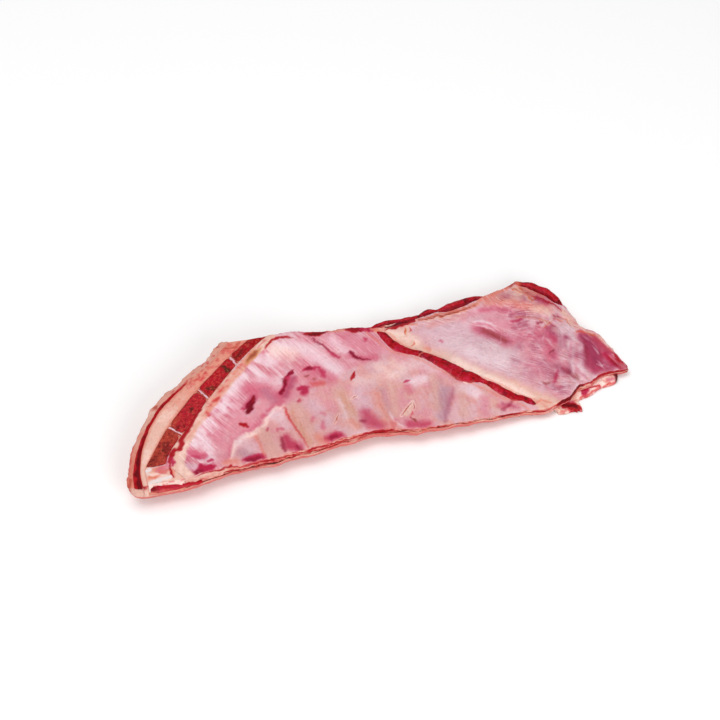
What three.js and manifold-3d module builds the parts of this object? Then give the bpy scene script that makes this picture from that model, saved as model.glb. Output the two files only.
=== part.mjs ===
// A raw lamb breast: the sawn lower half of a rib cage with its flank, lying on its fat side with the
// inside of the ribs up. The breastbone, sawn lengthwise, faces up along the left edge.
// Millimetres, +X along the breast towards the flank, +Y from the sawn rib ends to the belly edge, +Z up.
import * as THREE from "three";
import { mergeVertices } from "three/addons/utils/BufferGeometryUtils.js";
import Module from "manifold-3d";

const wasm = await Module();
wasm.setup();

// Driving dimensions.
const BREASTBONE = { front: 26, back: 33, lip: 3.5 }; // height of the sawn face at its ends; fall to its rim
const BASIN = 13; // height of the inner face in the middle of the ribs
const FAT = 3.2; // thickness of the fat that covers the outside
const BONE_DEPTH = 11; // half of the sawn breastbone, from its cut face down
const SEAM = 0.32; // free space between two pieces that touch
const SHOULDER = { flat: 6, foot: 52 }; // the inner face is level beside the bone, then falls to the basin
const MUSCLE_DEPTH = 3.5; // how deep the thin muscle goes at the sawn front, where fat closes it in below

// Outlines are read looking down from an eye point in front, 50 degrees up, and laid on a level plane
// READ_LEVEL high. A point at another height stands further back or forward on the same line of sight.
const READ_LEVEL = 18;
const EYE = new THREE.Vector3(-294, -962.4, 1245.7);
const stand = (x, y, z) =>
  new THREE.Vector3(x, y, READ_LEVEL).lerp(EYE, (z - READ_LEVEL) / (EYE.z - READ_LEVEL));

const mix = THREE.MathUtils.lerp;
const ease = (from, to, x) => THREE.MathUtils.smoothstep((x - from) / (to - from), 0, 1);
const spline = (points) => new THREE.SplineCurve(points.map(([x, y]) => new THREE.Vector2(x, y)));

// Lines that run along the breastbone, each from the sawn front to the belly edge, through 11 stations: the
// bones begin at the third, and a growth plate lies at the fifth, seventh and ninth.
const RIM = spline([
  [-204, -46], [-202.5, -39], [-199.5, -31], [-193.5, -14], [-181, 7], [-166, 27],
  [-148, 39], [-132, 49.5], [-115.5, 60], [-108, 68.5], [-101, 74],
]);
const SKIN_MUSCLE = spline([
  [-199.5, -47], [-198.5, -39], [-196, -30], [-189.5, -13.5], [-177, 8], [-161.5, 25],
  [-146, 36.5], [-130, 47], [-113, 58], [-104, 66.5], [-96.5, 73],
]);
const BONE_OUTSIDE = spline([
  [-189, -48], [-188.5, -40], [-187, -32], [-175, -15], [-161.5, 2], [-146, 18],
  [-131, 32], [-115, 45], [-98.5, 58], [-89, 65], [-79, 71],
]);
const BONE_INSIDE = spline([
  [-161, -49.5], [-166, -41], [-171, -32.5], [-164, -20], [-153, -9], [-138, 7],
  [-124, 21], [-109, 35], [-95, 48], [-80, 60], [-64, 70.5],
]);

// The other edges of the inner face: sawn ribs in front, belly edge behind, flank end to the right.
const RIB_EDGE = spline([
  [-161, -49.5], [-140, -48.5], [-100, -50], [-60, -49], [-20, -47], [0, -48.5], [30, -56], [80, -60.5],
  [112, -62.5], [125, -65.5], [142, -60.5], [152, -57], [160, -49.5], [170, -49], [180, -44.5],
  [192, -43.5], [203, -46],
]);
const BELLY_EDGE = spline([
  [-64, 70.5], [-42, 69], [-20, 62], [0, 60], [20, 55.5], [40, 53.5], [60, 54], [90, 56], [110, 60],
  [135, 64], [148, 68],
]);
const FLANK_END = spline([
  [203, -46], [202.5, -36], [198, -20], [193, -3], [184, 7], [181, 20], [178, 32], [172, 43], [165, 53],
  [157, 61.5], [148, 68],
]);
const EDGES = { bone: BONE_INSIDE, ribs: RIB_EDGE, belly: BELLY_EDGE, end: FLANK_END };
const SAMPLES = Object.fromEntries(
  Object.entries(EDGES).map(([name, curve]) => [name, curve.getPoints(120)]),
);
const away = (name, x, y) => Math.min(...SAMPLES[name].map((p) => Math.hypot(p.x - x, p.y - y)));

// The ribs: where each crosses the sawn edge, how far it leans, and how wide its ridge is.
const RIB_RISE = 1.9;
const RIBS = [
  [-89, -0.18, 15], [-56, -0.16, 15], [-25, -0.05, 13], [4, 0.06, 13],
  [24, 0.1, 10], [46, 0.14, 11], [66, 0.2, 11], [88, 0.2, 12],
];
const RIB_FOOT = -50;
const RIB_HEAD = 2;

// Soft hills and hollows of the flank: centre, half sizes, turn in degrees and height.
const SWELLS = [
  [112, 19, 17, 9, -38, -3.2], // hollow in the thin belly muscle
  [108, 36, 13, 4, -20, 1.6], // fold above it
  [166, -22, 6, 30, -12, 3.2], // upright fold before the flank end
  [190, -18, 9, 24, 14, -1.8], // the panel past that fold
  [128, 52, 22, 7, -8, 2.2], // roll of fat along the belly edge
  [157, 38, 14, 6, -30, 2.8],
  [95, -10, 12, 34, 42, 2.2], // firm border beside the skirt
  [150, -32, 9, 16, 10, -1.2],
];
function hill(x, y, [cx, cy, a, b, turn, height]) {
  const [c, s] = [Math.cos(turn * THREE.MathUtils.DEG2RAD), Math.sin(turn * THREE.MathUtils.DEG2RAD)];
  const along = ((x - cx) * c + (y - cy) * s) / a;
  const across = ((y - cy) * c - (x - cx) * s) / b;
  return height * Math.exp(-0.5 * (along * along + across * across));
}

const sawnHeight = (y) =>
  mix(BREASTBONE.front, BREASTBONE.back, THREE.MathUtils.clamp((y + 50) / 120, 0, 1));

function ribRelief(x, y) {
  const lift = ease(RIB_HEAD + 14, RIB_HEAD - 14, y);
  return RIBS.reduce((sum, [foot, lean, width]) => {
    const off = (x - foot - lean * (y - RIB_FOOT)) / (width / 2);
    return sum + RIB_RISE * lift * Math.exp(-off * off);
  }, 0);
}

// Height of the inner face at a point of the reading plane.
function innerHeight(x, y) {
  const fromBone = away("bone", x, y);
  const rimInFront = mix(6, -2.5, ease(-60, 130, x)) * ease(36, 0, away("ribs", x, y));
  const rimBehind = mix(8, 1, ease(-70, 40, x)) * ease(32, 0, away("belly", x, y));
  const thinEnd = -1.2 * ease(24, 0, away("end", x, y));
  const swells = SWELLS.reduce((sum, swell) => sum + hill(x, y, swell), 0);
  const basin = BASIN + rimInFront + rimBehind + thinEnd + ribRelief(x, y) + swells;
  return mix(sawnHeight(y), basin, ease(SHOULDER.flat, SHOULDER.foot, fromBone));
}

// The plan is a net of columns and rows. Columns 0 to 4 are the lines along the breastbone, and 4 to 5 the
// inner face from the bone to the flank end. Rows run from the sawn front, 0, to the belly edge, 1.
const MUSCLE_WIDTHS = new THREE.SplineCurve(
  [[0, 6.5], [0.2, 5], [0.4, 3], [0.6, 2.6], [0.8, 1.3], [1, 1.3]].map(([x, y]) => new THREE.Vector2(x, y)),
);
const COLUMN_LINES = [
  (v) => RIM.getPoint(v),
  (v) => SKIN_MUSCLE.getPoint(v),
  (v) => {
    const outside = SKIN_MUSCLE.getPoint(v);
    const inwards = BONE_OUTSIDE.getPoint(v).sub(outside).normalize();
    return outside.addScaledVector(inwards, MUSCLE_WIDTHS.getPoint(v).y);
  },
  (v) => BONE_OUTSIDE.getPoint(v),
  (v) => BONE_INSIDE.getPoint(v),
];
const LAST_BONE_LINE = 4;

function readAt(column, row) {
  if (column <= LAST_BONE_LINE) {
    const left = Math.min(Math.floor(column), LAST_BONE_LINE - 1);
    return COLUMN_LINES[left](row).lerp(COLUMN_LINES[left + 1](row), column - left);
  }
  const s = column - LAST_BONE_LINE;
  const [front, back] = [RIB_EDGE.getPointAt(s), BELLY_EDGE.getPointAt(s)];
  const [bone, end] = [BONE_INSIDE.getPoint(row), FLANK_END.getPoint(row)];
  const corners = new THREE.Vector2()
    .addScaledVector(RIB_EDGE.getPoint(0), (1 - s) * (1 - row))
    .addScaledVector(RIB_EDGE.getPoint(1), s * (1 - row))
    .addScaledVector(BELLY_EDGE.getPoint(0), (1 - s) * row)
    .addScaledVector(BELLY_EDGE.getPoint(1), s * row);
  return front.lerp(back, row).add(bone.lerp(end, s)).sub(corners);
}

function topAt(column, row) {
  const { x, y } = readAt(column, row);
  if (column > LAST_BONE_LINE) return innerHeight(x, y);
  return sawnHeight(y) - BREASTBONE.lip * Math.pow(1 - Math.min(column / 2, 1), 2);
}

const known = new Map();
function standingAt(column, row) {
  const key = column.toFixed(5) + " " + row.toFixed(5);
  if (!known.has(key)) {
    const { x, y } = readAt(column, row);
    known.set(key, stand(x, y, topAt(column, row)));
  }
  return known.get(key);
}

// The outside curves up from the table to every edge.
const roundUp = (distance, reach) => {
  const left = 1 - Math.min(distance / reach, 1);
  return 1 - Math.sqrt(1 - left * left);
};
function outsideHeight(column, row) {
  const here = standingAt(column, row);
  const flat = (p) => Math.hypot(p.x - here.x, p.y - here.y);
  const lifts = [
    mix(10.5, 3, ease(40, 150, here.x)) * roundUp(flat(standingAt(column, 0)), 24),
    mix(17, 6, ease(-70, 30, here.x)) * roundUp(flat(standingAt(column, 1)), 24),
    21 * roundUp(flat(standingAt(0, row)), 28),
    3 * roundUp(flat(standingAt(5, row)), 18),
  ];
  return Math.cbrt(lifts.reduce((sum, lift) => sum + lift ** 3, 0));
}

// The fat thins out under the sawn front, behind the breastbone.
function undersideHeight(column, row) {
  const here = standingAt(column, row);
  const front = standingAt(column, 0);
  const thinning = 2 * ease(-180, -160, here.x) * ease(-105, -145, here.x);
  const fromFront = Math.hypot(front.x - here.x, front.y - here.y);
  return outsideHeight(column, row) + thinning * roundUp(fromFront, 12);
}

// Splits the squares of a box's underside along the same diagonals as those of its top.
function matchUnderside(box) {
  const { start, count } = box.groups[5];
  const index = box.index.array;
  for (let i = start; i < start + count; i += 6) {
    const [a, b, d, , c] = index.slice(i, i + 5);
    index.set([a, b, c, a, c, d], i);
  }
}

// A closed block over a stretch of the net. reach(column, row) gives its lower and upper height.
function block(columns, rows, reach) {
  const box = new THREE.BoxGeometry(1, 1, 1, columns.length - 1, rows.length - 1, 1);
  matchUnderside(box);
  box.deleteAttribute("normal");
  box.deleteAttribute("uv");
  const body = mergeVertices(box, 1e-4);
  const at = body.getAttribute("position");
  for (let i = 0; i < at.count; i++) {
    const column = columns[Math.round((at.getX(i) + 0.5) * (columns.length - 1))];
    const row = rows[Math.round((at.getY(i) + 0.5) * (rows.length - 1))];
    const { x, y } = standingAt(column, row);
    const [low, high] = reach(column, row);
    at.setXYZ(i, x, y, mix(low, high, at.getZ(i) + 0.5));
  }
  return body;
}

// A closed strand of meat along a path, round in section. size(t) gives its width and height.
function strand(path, steps, sides, size) {
  const tube = new THREE.CylinderGeometry(1, 1, 1, sides, steps);
  tube.deleteAttribute("normal");
  tube.deleteAttribute("uv");
  const body = mergeVertices(tube, 1e-4);
  const at = body.getAttribute("position");
  for (let i = 0; i < at.count; i++) {
    const t = at.getY(i) + 0.5;
    const tangent = path.getTangentAt(t);
    const side = new THREE.Vector3(tangent.y, -tangent.x, 0).normalize();
    const [width, height] = size(t);
    const spot = path.getPointAt(t).addScaledVector(side, (at.getX(i) * width) / 2);
    at.setXYZ(i, spot.x, spot.y, spot.z + (at.getZ(i) * height) / 2);
  }
  return body;
}

// A path through points of the reading plane, raise above the inner face there.
const pathOver = (points, raise) =>
  new THREE.CatmullRomCurve3(points.map(([x, y]) => stand(x, y, innerHeight(x, y) + raise)));

function solidOf(geometry) {
  const vertProperties = new Float32Array(geometry.getAttribute("position").array);
  const triVerts = new Uint32Array(geometry.index.array);
  const solid = new wasm.Manifold(new wasm.Mesh({ numProp: 3, vertProperties, triVerts }));
  if (solid.volume() > 0) return solid;
  const turned = triVerts.slice();
  for (let i = 0; i < turned.length; i += 3) {
    turned[i + 1] = triVerts[i + 2];
    turned[i + 2] = triVerts[i + 1];
  }
  return new wasm.Manifold(new wasm.Mesh({ numProp: 3, vertProperties, triVerts: turned }));
}

function geometryOf(solid) {
  const { vertProperties, triVerts } = solid.getMesh();
  return new THREE.BufferGeometry()
    .setAttribute("position", new THREE.BufferAttribute(new Float32Array(vertProperties), 3))
    .setIndex(new THREE.BufferAttribute(new Uint32Array(triVerts), 1));
}

// The largest piece of a solid, without the scraps that a cut can leave.
const largest = (solid) => solid.decompose().reduce((a, b) => (b.volume() > a.volume() ? b : a));
const cut = (solid, tools) => largest(tools.reduce((left, tool) => left.subtract(tool), solid));

const steps = (from, to, count) => Array.from({ length: count + 1 }, (_, i) => mix(from, to, i / count));

// Every piece takes its columns and rows from these, so that pieces that touch share one surface.
const STEP = 0.02; // share of a column over which a floor drops
const SLIT = 0.09; // share of a column that is left free on each side of the thin muscle
const ROWS = [0, 0.05, 0.12, ...steps(0.2, 0.8, 12), 0.87, 0.94, 1];
const FACE_COLUMNS = steps(LAST_BONE_LINE, 5, 40).slice(1);
const RIM_COLUMNS = [0, 0.5, 1 - 2 * STEP, 1 - STEP];
const MUSCLE_COLUMNS = [1 + SLIT, 1.5, 2 - SLIT];
const FAT_COLUMNS = [2, 2.5, 3 - 2 * STEP, 3 - STEP, 3.5, 4 - STEP];
const WALL_COLUMNS = [LAST_BONE_LINE, ...FACE_COLUMNS];

// The fat under the meat is FAT thick, and comes up below the thin muscle towards the sawn front.
function covered(column, row) {
  const fat = outsideHeight(column, row) + FAT;
  const underMuscle = column < 2 - SLIT / 2;
  const floor = topAt(column, row) - MUSCLE_DEPTH;
  return underMuscle ? Math.max(fat, mix(floor, fat, ease(0.02, 0.16, row))) : fat;
}
const aboveFat = (column, row) => covered(column, row) + SEAM;

function outerFat() {
  const columns = [...RIM_COLUMNS, ...MUSCLE_COLUMNS, ...FAT_COLUMNS, ...WALL_COLUMNS];
  return block(columns, ROWS, (column, row) => {
    const inRim = column < 1 - 1.5 * STEP;
    return [undersideHeight(column, row), inRim ? topAt(column, row) : covered(column, row)];
  });
}

function brisketMuscle() {
  return block(MUSCLE_COLUMNS, ROWS, (column, row) => [aboveFat(column, row), topAt(column, row) + 0.3]);
}

function brisketFat() {
  return block(FAT_COLUMNS, ROWS, (column, row) => {
    const top = topAt(column, row);
    return [aboveFat(column, row), column < 3 - 1.5 * STEP ? top : top - BONE_DEPTH];
  });
}

// What lies in the trough of the breastbone, from the sawn front: where each ends, and how proud it stands.
const BONE_ROW = [
  ["first_cartilage", 0.2, -0.4],
  ["breastbone_1", 0.393, 0.4],
  ["growth_plate_1", 0.407, -0.5],
  ["breastbone_2", 0.593, 0.4],
  ["growth_plate_2", 0.607, -0.5],
  ["breastbone_3", 0.793, 0.4],
  ["growth_plate_3", 0.812, -0.5],
  ["breastbone_4", 1, 0.2],
];
function bonePieces() {
  const rowGap = SEAM / 210;
  let start = 0;
  return BONE_ROW.map(([name, end, proud]) => {
    const isPlate = name.startsWith("growth");
    const [first, last] = [start ? start + rowGap : 0, end === 1 ? 1 : end - rowGap];
    const rows = [first, ...ROWS.filter((row) => row > first && row < last), last];
    start = end;
    const columns = isPlate ? [3, 3.5, 4 - STEP] : [3, 3.15, 3.5, 3.82, 4 - STEP];
    return [
      name,
      block(columns, rows, (column, row) => {
        const top = topAt(column, row);
        return [top - BONE_DEPTH + SEAM, top + proud];
      }),
    ];
  });
}

function breastWall() {
  return block(WALL_COLUMNS, ROWS, (column, row) => [aboveFat(column, row), topAt(column, row)]);
}

// The cut edge of the diaphragm, which crosses the inner face: centre line and width.
const SKIRT_LINE = [
  [22, 49], [27, 42], [31, 32], [37, 24], [50, 15], [57, 8], [68, -5], [75, -15], [84, -21], [96, -34],
  [106, -47], [113, -51], [121, -61],
];
const SKIRT_WIDTHS = spline([
  [0, 3], [0.08, 8], [0.2, 7.5], [0.3, 6], [0.42, 8.5], [0.55, 11.5], [0.62, 10], [0.68, 5], [0.78, 7],
  [0.84, 5.5], [0.9, 7.5], [0.94, 4.5], [0.97, 6], [1, 3],
]);
const skirt = (clearance) =>
  strand(pathOver(SKIRT_LINE, -0.8), 40, 8, (t) => {
    const width = SKIRT_WIDTHS.getPoint(t).y;
    return [width + clearance, 0.4 * width + 3.2 + clearance];
  });

// Rolled muscle along the belly edge and the flank end: line, width, height and how high its middle lies.
const EDGE_MUSCLES = {
  edge_muscle_1: {
    line: [[21, 53.5], [32, 55.5], [42, 54.5], [52, 53.5], [60.8, 54.2]],
    width: 6.5,
    height: 7,
    raise: -1.5,
  },
  edge_muscle_2: {
    line: [[62.4, 55], [70, 57], [80, 55.5], [95, 57.5], [113, 59.5]],
    width: 7,
    height: 7,
    raise: -1.5,
  },
  edge_muscle_3: {
    line: [[151, 65], [158, 59.5], [165, 52.5], [171, 44.5], [174.5, 36]],
    width: 8,
    height: 7,
    raise: -1,
  },
};
const edgeMuscle = ({ line, width, height, raise }, clearance) =>
  strand(pathOver(line, raise), 14, 8, (t) => {
    const full = Math.sqrt(Math.max(1 - (2 * t - 1) ** 4, 0.12));
    return [width * full + clearance, height * full + clearance];
  });

// The red muscle that shows in the sawn front, below the first cartilage: a wedge with its blunt end at the
// rim, along points of the solids themselves.
const FRONT_MUSCLE = {
  line: [[-188.5, -52.2, 17.8], [-177, -52.8, 17.2], [-164, -53.4, 16.3], [-150.5, -54.1, 15.7]],
  width: 6,
  heights: spline([[0, 7.5], [0.15, 10.2], [0.35, 8.2], [0.6, 4.8], [0.85, 3.2], [1, 2.2]]),
};
const frontMuscle = (clearance) => {
  const path = new THREE.CatmullRomCurve3(FRONT_MUSCLE.line.map((point) => new THREE.Vector3(...point)));
  return strand(path, 12, 8, (t) => {
    const full = Math.sqrt(Math.max(1 - (2 * t - 1) ** 8, 0.15)) * mix(1, 0.45, t);
    return [FRONT_MUSCLE.width * full + clearance, FRONT_MUSCLE.heights.getPoint(t).y + clearance];
  });
};

// The outer layer of the flank, which comes out from under the front of its end.
const UNDER_LAYER = { low: 0.4, high: 5.2 };
const UNDER_EDGE = spline([
  [134, -67], [138, -71.5], [147, -72], [154, -73.5], [151, -66], [157, -62], [165, -60.5], [176, -56],
  [190, -54], [194, -48],
]);
const UNDER_ROOT = spline([[137, -52], [150, -46], [162, -39], [176, -34], [190, -36]]);
function underLayer(clearance) {
  const box = new THREE.BoxGeometry(1, 1, 1, 26, 4, 1);
  box.deleteAttribute("normal");
  box.deleteAttribute("uv");
  const body = mergeVertices(box, 1e-4);
  const at = body.getAttribute("position");
  for (let i = 0; i < at.count; i++) {
    const along = at.getX(i) + 0.5;
    const root = UNDER_ROOT.getPointAt(along);
    const edge = UNDER_EDGE.getPointAt(along);
    const out = 0.5 - at.getY(i);
    const outwards = new THREE.Vector2(at.getX(i), 0.5 - out);
    const spot = root.lerp(edge, out).addScaledVector(outwards, 2.4 * clearance);
    const high = UNDER_LAYER.high - 1.2 * out * out + clearance / 2;
    const z = at.getZ(i) > 0 ? high : UNDER_LAYER.low - clearance;
    const { x, y } = stand(spot.x, spot.y, UNDER_LAYER.high - 1);
    at.setXYZ(i, x, y, z);
  }
  return body;
}

const FINISHES = {
  fat: { color: 0xe6b9a2, roughness: 0.42 },
  face: { color: 0xd99fa6, roughness: 0.35 },
  muscle: { color: 0x9c1420, roughness: 0.38 },
  bone: { color: 0x8a2a24, roughness: 0.6 },
  cartilage: { color: 0xdcd3da, roughness: 0.3 },
};

const roomFor = 2 * SEAM;
const edgeTools = Object.values(EDGE_MUSCLES).map((shape) => solidOf(edgeMuscle(shape, roomFor)));
const skirtTool = solidOf(skirt(roomFor));
const frontTool = solidOf(frontMuscle(roomFor));
const underTool = solidOf(underLayer(roomFor));

const pieces = [
  ["outer_fat", "fat", cut(solidOf(outerFat()), [frontTool, underTool, ...edgeTools])],
  ["brisket_muscle", "muscle", solidOf(brisketMuscle())],
  ["brisket_fat", "fat", cut(solidOf(brisketFat()), [frontTool])],
  ...bonePieces().map(([name, shape]) => [
    name,
    name.startsWith("breastbone") ? "bone" : "cartilage",
    cut(solidOf(shape), [frontTool]),
  ]),
  ["breast_wall", "face", cut(solidOf(breastWall()), [skirtTool, frontTool, underTool, ...edgeTools])],
  ["skirt", "muscle", solidOf(skirt(0))],
  ["front_muscle", "muscle", solidOf(frontMuscle(0))],
  ...Object.entries(EDGE_MUSCLES).map(([name, shape]) => [name, "muscle", solidOf(edgeMuscle(shape, 0))]),
  ["flank_under_layer", "fat", solidOf(underLayer(0))],
];

const breast = new THREE.Group();
for (const [name, finish, solid] of pieces) {
  const material = new THREE.MeshStandardMaterial({ ...FINISHES[finish], metalness: 0 });
  const mesh = new THREE.Mesh(geometryOf(solid), material);
  mesh.name = name;
  breast.add(mesh);
}

// The origin is under the middle of the whole, on the surface that it lies on.
const bounds = new THREE.Box3().setFromObject(breast);
const middle = bounds.getCenter(new THREE.Vector3());
breast.position.set(-middle.x, -middle.y, -bounds.min.z);

export default breast;
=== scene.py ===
"""A raw lamb breast on a pale floor: looks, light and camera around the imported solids."""

import math

import bmesh
import bpy
import numpy as np
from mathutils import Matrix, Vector


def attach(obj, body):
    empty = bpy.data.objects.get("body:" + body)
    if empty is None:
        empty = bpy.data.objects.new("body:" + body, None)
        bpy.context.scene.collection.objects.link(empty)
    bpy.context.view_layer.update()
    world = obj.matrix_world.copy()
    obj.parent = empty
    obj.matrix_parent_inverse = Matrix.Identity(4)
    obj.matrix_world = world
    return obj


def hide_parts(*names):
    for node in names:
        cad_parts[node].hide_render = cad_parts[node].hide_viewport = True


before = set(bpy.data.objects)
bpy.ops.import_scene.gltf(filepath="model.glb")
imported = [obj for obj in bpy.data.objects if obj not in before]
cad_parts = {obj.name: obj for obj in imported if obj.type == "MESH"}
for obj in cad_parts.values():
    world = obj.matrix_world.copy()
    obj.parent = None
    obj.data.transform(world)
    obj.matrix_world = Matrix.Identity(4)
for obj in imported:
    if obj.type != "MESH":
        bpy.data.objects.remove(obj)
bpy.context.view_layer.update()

MM = 0.001  # lines and heights below are in millimetres
SEED = 11
TINY = 1e-6

# ------------------------------------------------------------------ lines and heights, as in the solids

READ_LEVEL = 18  # outlines are read on a level plane this high, seen from EYE
EYE = np.array([-294.0, -962.4, 1245.7])
CENTRE = np.array([-1.236, -4.285, 0.0])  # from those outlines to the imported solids
BREASTBONE = {"front": 26, "back": 33, "lip": 3.5}  # height of the sawn face at its ends; fall to its rim
BONE_START = -50  # y at which the sawn face is lowest
BONE_REACH = 120  # and how much further it goes
BONE_DEPTH = 11  # half of the sawn breastbone, from its cut face down
BASIN = 13  # height of the inner face in the middle of the ribs
SHOULDER = {"flat": 6, "foot": 52}  # the face is level beside the bone, then falls to the basin
FAT = 3.2
MUSCLE_DEPTH = 3.5  # how deep the thin muscle goes at the sawn front


def mix(a, b, t):
    return a + (b - a) * t


def ease(start, end, x):
    """Goes smoothly from 0 at start to 1 at end."""
    t = np.clip((x - start) / (end - start), 0, 1)
    return t * t * (3 - 2 * t)


class Line:
    """A smooth line through points: by its stations with at(), by its length with along()."""

    def __init__(self, points, fine=480):
        p = np.array(points, float)
        last = len(p) - 1
        t = np.linspace(0, last, fine + 1)
        i = np.minimum(t.astype(int), last - 1)
        w = (t - i)[:, None]
        before, a, b, after = p[np.maximum(i - 1, 0)], p[i], p[i + 1], p[np.minimum(i + 2, last)]
        u, v = (b - before) / 2, (after - a) / 2
        self.dots = (2 * a - 2 * b + u + v) * w**3 + (3 * b - 3 * a - 2 * u - v) * w**2 + u * w + a
        self.station = t / last
        steps = np.linalg.norm(np.diff(self.dots, axis=0), axis=1)
        self.length = steps.sum()
        self.walked = np.concatenate([[0], np.cumsum(steps)]) / self.length

    def _read(self, t, scale):
        return np.stack([np.interp(t, scale, self.dots[:, k]) for k in range(self.dots.shape[1])], -1)

    def at(self, t):
        return self._read(t, self.station)

    def along(self, t):
        return self._read(t, self.walked)


RIM = Line([
    (-204, -46), (-202.5, -39), (-199.5, -31), (-193.5, -14), (-181, 7), (-166, 27),
    (-148, 39), (-132, 49.5), (-115.5, 60), (-108, 68.5), (-101, 74),
])
SKIN_MUSCLE = Line([
    (-199.5, -47), (-198.5, -39), (-196, -30), (-189.5, -13.5), (-177, 8), (-161.5, 25),
    (-146, 36.5), (-130, 47), (-113, 58), (-104, 66.5), (-96.5, 73),
])
BONE_OUTSIDE = Line([
    (-189, -48), (-188.5, -40), (-187, -32), (-175, -15), (-161.5, 2), (-146, 18),
    (-131, 32), (-115, 45), (-98.5, 58), (-89, 65), (-79, 71),
])
BONE_INSIDE = Line([
    (-161, -49.5), (-166, -41), (-171, -32.5), (-164, -20), (-153, -9), (-138, 7),
    (-124, 21), (-109, 35), (-95, 48), (-80, 60), (-64, 70.5),
])
RIB_EDGE = Line([
    (-161, -49.5), (-140, -48.5), (-100, -50), (-60, -49), (-20, -47), (0, -48.5), (30, -56), (80, -60.5),
    (112, -62.5), (125, -65.5), (142, -60.5), (152, -57), (160, -49.5), (170, -49), (180, -44.5),
    (192, -43.5), (203, -46),
])
BELLY_EDGE = Line([
    (-64, 70.5), (-42, 69), (-20, 62), (0, 60), (20, 55.5), (40, 53.5), (60, 54), (90, 56), (110, 60),
    (135, 64), (148, 68),
])
FLANK_END = Line([
    (203, -46), (202.5, -36), (198, -20), (193, -3), (184, 7), (181, 20), (178, 32), (172, 43), (165, 53),
    (157, 61.5), (148, 68),
])
MUSCLE_WIDTHS = Line([(0, 6.5), (0.2, 5), (0.4, 3), (0.6, 2.6), (0.8, 1.3), (1, 1.3)])
FACE_EDGES = (RIB_EDGE, BELLY_EDGE, FLANK_END)
LAST_BONE_LINE = 4  # columns 0 to 4 of the net are the lines along the breastbone
FLANK_COLUMN = 5  # and this one is the flank end

# The ribs: foot at the sawn edge, lean, width of the ridge.
RIBS = [
    (-89, -0.18, 15), (-56, -0.16, 15), (-25, -0.05, 13), (4, 0.06, 13), (24, 0.1, 10), (46, 0.14, 11),
    (66, 0.2, 11), (88, 0.2, 12),
]
RIB_RISE = 1.9
RIB_FOOT = -50
RIB_HEAD = 2
RIB_FADE = 14
# Soft hills and hollows of the flank: centre, half sizes, turn in degrees, height.
SWELLS = [
    (112, 19, 17, 9, -38, -3.2), (108, 36, 13, 4, -20, 1.6), (166, -22, 6, 30, -12, 3.2),
    (190, -18, 9, 24, 14, -1.8), (128, 52, 22, 7, -8, 2.2), (157, 38, 14, 6, -30, 2.8),
    (95, -10, 12, 34, 42, 2.2), (150, -32, 9, 16, 10, -1.2),
]
# How the basin rises to each edge: heights on the left and on the right, where on x it changes between
# them, and how far in the rise reaches.
EDGE_RISES = [
    (RIB_EDGE, (6, -2.5), (-60, 130), 36),
    (BELLY_EDGE, (8, 1), (-70, 40), 32),
    (FLANK_END, (-1.2, -1.2), (0, 1), 24),
]
# The same for the outside, which curves up to the front, the back, the rim and the flank end.
OUTSIDE_RISES = [
    ((10.5, 3), (40, 150), 24),
    ((17, 6), (-70, 30), 24),
    ((21, 21), (0, 1), 28),
    ((3, 3), (0, 1), 18),
]


def away(line, x, y):
    """Distance from each point to a line of the plan."""
    nearest = np.full(np.shape(x), np.inf)
    for px, py in line.at(np.linspace(0, 1, 121)):
        nearest = np.minimum(nearest, (x - px) ** 2 + (y - py) ** 2)
    return np.sqrt(nearest)


def turned(x, y, degrees):
    """Distances along and across a direction."""
    c, s = math.cos(math.radians(degrees)), math.sin(math.radians(degrees))
    return x * c + y * s, y * c - x * s


def hill(x, y, cx, cy, a, b, turn):
    along, across = turned(x - cx, y - cy, turn)
    return np.exp(-0.5 * ((along / a) ** 2 + (across / b) ** 2))


def sawn_height(y):
    return mix(BREASTBONE["front"], BREASTBONE["back"], np.clip((y - BONE_START) / BONE_REACH, 0, 1))


def rib_ridges(x, y):
    lift = ease(RIB_HEAD + RIB_FADE, RIB_HEAD - RIB_FADE, y)
    off = [(x - foot - lean * (y - RIB_FOOT)) / (width / 2) for foot, lean, width in RIBS]
    return lift * sum(np.exp(-(k**2)) for k in off)


def inner_height(x, y):
    x, y = np.asarray(x, float), np.asarray(y, float)
    basin = BASIN + RIB_RISE * rib_ridges(x, y)
    for edge, heights, change, reach in EDGE_RISES:
        basin = basin + mix(*heights, ease(*change, x)) * ease(reach, 0, away(edge, x, y))
    for cx, cy, a, b, turn, height in SWELLS:
        basin = basin + height * hill(x, y, cx, cy, a, b, turn)
    from_bone = away(BONE_INSIDE, x, y)
    return mix(sawn_height(y), basin, ease(SHOULDER["flat"], SHOULDER["foot"], from_bone))


def bone_line(number, row):
    """A line along the breastbone; number 2 lies the muscle's width inside number 1."""
    if number == 2:
        outside = SKIN_MUSCLE.at(row)
        inwards = BONE_OUTSIDE.at(row) - outside
        inwards /= np.linalg.norm(inwards, axis=-1, keepdims=True)
        return outside + inwards * MUSCLE_WIDTHS.at(row)[..., 1:2]
    return (RIM, SKIN_MUSCLE, None, BONE_OUTSIDE, BONE_INSIDE)[number].at(row)


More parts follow.
